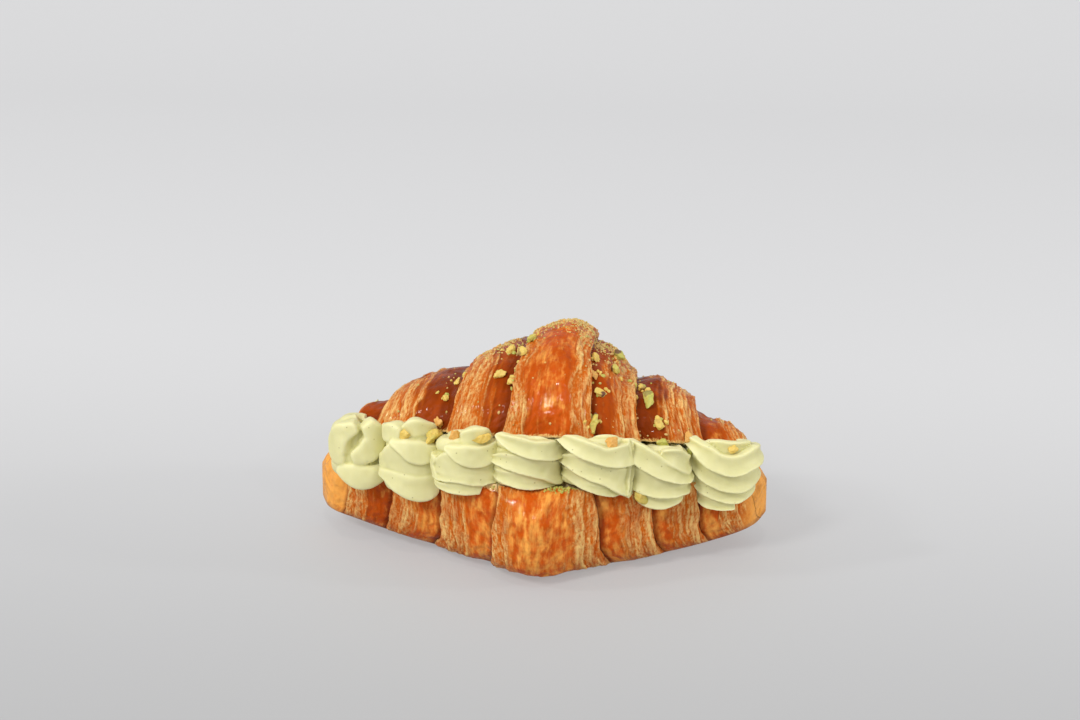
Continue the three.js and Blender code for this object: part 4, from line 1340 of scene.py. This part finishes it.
def build_dust_tree():
    labels = ("Density", "Smallest", "Largest", "First tint", "Last tint")
    numbers = [(label, FLOAT) for label in labels] + [("Seed", "NodeSocketInt")]
    inputs = [("Crust", "NodeSocketGeometry")] + numbers + [("Finish", "NodeSocketMaterial")]
    tree, given = new_shape_tree("nut_dust", inputs)
    amount = result(tree, "GeometryNodeInputNamedAttribute", {"data_type": "FLOAT"}, Name="dust")
    spots = result(
        tree,
        "GeometryNodeDistributePointsOnFaces",
        Mesh=given["Crust"],
        Density=maths(tree, "MULTIPLY", amount, given["Density"]),
        Seed=given["Seed"],
    )
    turn = random_value(tree, 0, in0=(0, 0, 0), in1=(6.28, 6.28, 6.28))
    size = random_value(tree, 0, in2=given["Smallest"], in3=given["Largest"])
    stretch = random_value(tree, 5, in0=(0.7, 0.6, 0.5), in1=(1.3, 1, 1))
    chips = result(
        tree,
        "GeometryNodeInstanceOnPoints",
        Points=spots,
        Instance=result(tree, "GeometryNodeMeshIcoSphere", Radius=1.0, Subdivisions=1),
        Rotation=turn,
        Scale=result(tree, "ShaderNodeVectorMath", {"operation": "SCALE"}, in0=stretch, Scale=size),
    )
    stored = result(
        tree,
        "GeometryNodeStoreNamedAttribute",
        {"data_type": "FLOAT", "domain": "INSTANCE"},
        Geometry=chips,
        Name="tint",
        Value=random_value(tree, 11, in2=given["First tint"], in3=given["Last tint"]),
    )
    end_shape_tree(tree, stored, given["Finish"])
    return tree


dust_tree = build_dust_tree()
print("scatter tree has", len(dust_tree.nodes), "nodes")


def dust_piece(name, crust, amount, values):
    """Scatters chips over a crust where amount (0 to 1, one value per point) asks for them."""
    piece = new_piece(name, crust.data.copy())
    save_attribute(piece, "dust", amount)
    run_tree(piece, dust_tree, values)
    piece.data.shade_flat()
    return piece


# %% Where they lie
def patch_of_dust(points, centre, reach):
    """A soft patch round a place, in the outline's millimetres."""
    return np.exp(-(((points - np.array(centre)) / np.array(reach)) ** 2).sum(1))


lid_points = get_points(lid_piece)
lid_crumb = np.empty(len(lid_points), np.float32)
lid_piece.data.attributes["crumb"].data.foreach_get("value", lid_crumb)
on_lid_crust = lid_crumb < 0.5

# Dust: how thick, where, and how far it reaches each way. A little lies everywhere.
LID_DUST = [
    (1.6, (6, 12, 73), (9, 14, 4.5)),
    (1.4, (20, 5, 62), (6, 12, 8)),
    (1.1, (-13, 0, 63), (6, 9, 7)),
    (1.0, (17, -12, 58), (3, 9, 9)),
    (0.5, (30, -14, 46), (12, 14, 6)),
    (0.5, (-30, -4, 50), (5, 9, 5)),
]
lid_dust = sum(thick * patch_of_dust(lid_points, centre, reach) for thick, centre, reach in LID_DUST)
clumps = smoothstep(-0.2, 0.6, noise(lid_points / 2.2, 77))
lid_dust = lid_dust * (0.25 + clumps) * on_lid_crust + 0.004

# Shards: round every larger nut on the upper half.
SHARD_REACH = (2.6, 2.6, 2.6)
shard_spots = [get_points(piece).mean(0) for node, piece in nut_pieces.items() if "lid" in node]
lid_shards = sum(patch_of_dust(lid_points, spot, SHARD_REACH) for spot in shard_spots)
lid_shards = lid_shards * smoothstep(-0.2, 0.4, noise(lid_points / 1.7, 91)) * on_lid_crust

# Crumbs: two small heaps on the front rim of the lower half.
RIM_HEIGHT, RIM_FRONT = 32.3, -36
base_x, base_y, base_z = get_points(base_piece).T
rim_band = np.exp(-(((base_z - RIM_HEIGHT) / 0.5) ** 2)) * (base_y < RIM_FRONT)
left_heap = np.exp(-(((base_x + 13) / 2.5) ** 2))
right_heap = 1.3 * np.exp(-(((base_x - 9) / 5) ** 2))
base_crumbs = rim_band * (left_heap + right_heap)

# %% Scatter them
# name, crust, amount, chips per square metre, smallest and largest in millimetres, tints, seed, finish
SCATTERS = [
    ("nut_shards_lid", lid_piece, lid_shards, 6.5e5, (0.35, 1.15), (-0.3, 0.9), 12, nut_finish),
    ("nut_dust_lid", lid_piece, lid_dust, 2.2e6, (0.16, 0.62), (-0.5, 1.05), 4, dust_finish),
    ("nut_crumbs_base", base_piece, base_crumbs, 1.2e6, (0.2, 0.75), (0.45, 0.85), 8, nut_finish),
]
dust_pieces = []
for name, crust, amount, density, sizes, tints, seed, finish in SCATTERS:
    values = {
        "Density": density,
        "Smallest": sizes[0] * MM,
        "Largest": sizes[1] * MM,
        "First tint": tints[0],
        "Last tint": tints[1],
        "Seed": seed,
        "Finish": finish,
    }
    dust_pieces.append(dust_piece(name, crust, amount, values))
    print(name, triangle_count(dust_pieces[-1]), "triangles")

# %% [markdown]
# ## Camera, floor and light
# A plain seamless sweep: a floor that curves up behind, so that no corner shows. A key light stands low on
# the right, a large soft one hangs in front, and a weak one on the left keeps the shadows open. Two small
# lamps only put glints on the egg wash.

# %% Camera
FRONT_Y = -36  # the camera's place is measured from a spot this many millimetres in front of the middle line
FRONT_SPOT = Vector((SHIFT[0] * MM, (SHIFT[1] + FRONT_Y) * MM, 0))
VIEW_TURN, VIEW_RISE, VIEW_DISTANCE = math.radians(8), math.radians(23), 0.75
AXIS_TURN, AXIS_RISE = math.radians(7.75), math.radians(17.6)


def direction(turn, rise):
    """From the croissant towards a place at that turn to the right of the front and that height."""
    return Vector((math.sin(turn) * math.cos(rise), -math.cos(turn) * math.cos(rise), math.sin(rise)))


camera_data = bpy.data.cameras.new("camera")
camera_data.lens = 74.5
camera_data.sensor_width = 36
camera_data.clip_start = 0.01
camera = new_piece("camera", camera_data)
camera.location = FRONT_SPOT + direction(VIEW_TURN, VIEW_RISE) * VIEW_DISTANCE
camera.rotation_euler = direction(AXIS_TURN, AXIS_RISE).to_track_quat("Z", "Y").to_euler()
bpy.context.scene.camera = camera


# %% Floor and backdrop in one sweep
FLOOR_FRONT, FLOOR_BACK, FLOOR_SIDE = -2.0, 0.75, 2.6  # metres from the middle
BEND, BACKDROP_TOP = 0.45, 2.2


def sweep_profile():
    """Points of the floor's section, from in front of the camera to high behind."""
    points = [(FLOOR_FRONT, 0.0), (FLOOR_BACK, 0.0)]
    for a in np.linspace(0, math.pi / 2, 13)[1:]:
        points.append((FLOOR_BACK + BEND * math.sin(a), BEND * (1 - math.cos(a))))
    points.append((FLOOR_BACK + BEND, BACKDROP_TOP))
    return points


def dimmer_in_gloss(tree, strength, loss):
    """A brightness that is lower in reflections."""
    in_gloss = add_node(tree, "ShaderNodeLightPath").outputs["Is Glossy Ray"]
    return weighted(tree, (in_gloss, -loss), plus=strength)


profile = sweep_profile()
sweep_points = np.array([(side, y, z) for side in (-FLOOR_SIDE, FLOOR_SIDE) for y, z in profile]) / MM - SHIFT
count = len(profile)
sweep_faces = np.array([(k, k + count, k + count + 1, k + 1) for k in range(count - 1)])
sweep = mesh_object("floor_sweep", sweep_points, [sweep_faces])
# The paper is painted darker near the front and lighter behind: painted light falling off across the sweep.
NEAR_PAPER, FAR_PAPER = (0.18, 0.18, 0.181, 1), (0.287, 0.287, 0.29, 1)
sweep_finish, tree, paper = new_finish("studio_paper")
paper_place = add_node(tree, "ShaderNodeTexCoord").outputs["Object"]
depth = add_node(tree, "ShaderNodeSeparateXYZ", None, in0=paper_place).outputs["Y"]
paper_painted_falloff = blend_colour(tree, ramp(tree, depth, -0.3, 0.25), NEAR_PAPER, FAR_PAPER)
tree.links.new(paper_painted_falloff, paper.inputs["Base Color"])
# The paper also glows, which is painted light that fills in the shadows on it, but hardly in reflections.
tree.links.new(paper_painted_falloff, paper.inputs["Emission Color"])
tree.links.new(dimmer_in_gloss(tree, 1.4, 1.2), paper.inputs["Emission Strength"])
paper.inputs["Roughness"].default_value = 0.7
sweep.data.materials.append(sweep_finish)


# %% Lights
LIT_SPOT = Vector((0, 0, 0.03))


def soft_light(name, place, size, power):
    """A round lamp that faces the croissant."""
    data = bpy.data.lights.new(name, "AREA")
    data.shape = "DISK"
    data.size = size
    data.energy = power
    lamp = new_piece(name, data)
    lamp.location = place
    lamp.rotation_euler = (LIT_SPOT - Vector(place)).to_track_quat("-Z", "Y").to_euler()


soft_light("key_right", (1.25, -0.02, 0.5), 0.14, 3.6)
soft_light("front_soft", (-0.75, -1.35, 1.3), 0.45, 15.5)
soft_light("left_weak", (-1.2, -0.4, 0.9), 0.16, 4.5)
soft_light("glint_right", (0.75, -1.1, 0.75), 0.05, 1.5)
soft_light("glint_top", (0.1, -0.7, 1.5), 0.06, 2.2)
world = bpy.data.worlds.new("studio")
world.use_nodes = True
backdrop = world.node_tree.nodes["Background"]
backdrop.inputs["Color"].default_value = (1, 1, 1, 1)
# The room lights everything evenly but is dark in reflections, so that glaze shows the lamps and not a white
# haze.
world.node_tree.links.new(dimmer_in_gloss(world.node_tree, 0.72, 0.62), backdrop.inputs["Strength"])
bpy.context.scene.world = world
bpy.context.scene.view_settings.view_transform = "Standard"

# %% [markdown]
# ## The croissant's body
# Every piece rides with the croissant's one body, and the frame's own part that it stands in for is hidden.
# The scattered chips stand for no node.

# %% Bodies and nodes
bpy.context.view_layer.update()
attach(base_piece, "root")
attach(lid_piece, "root")
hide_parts("croissant_base")
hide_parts("croissant_lid")
cream_pieces["cream_filling"] = bed
for slot, pieces in (("cream", cream_pieces), ("pistachio", nut_pieces)):
    for node, piece in pieces.items():
        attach(piece, "root")
        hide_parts(node)
for piece in dust_pieces:
    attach(piece, "root")
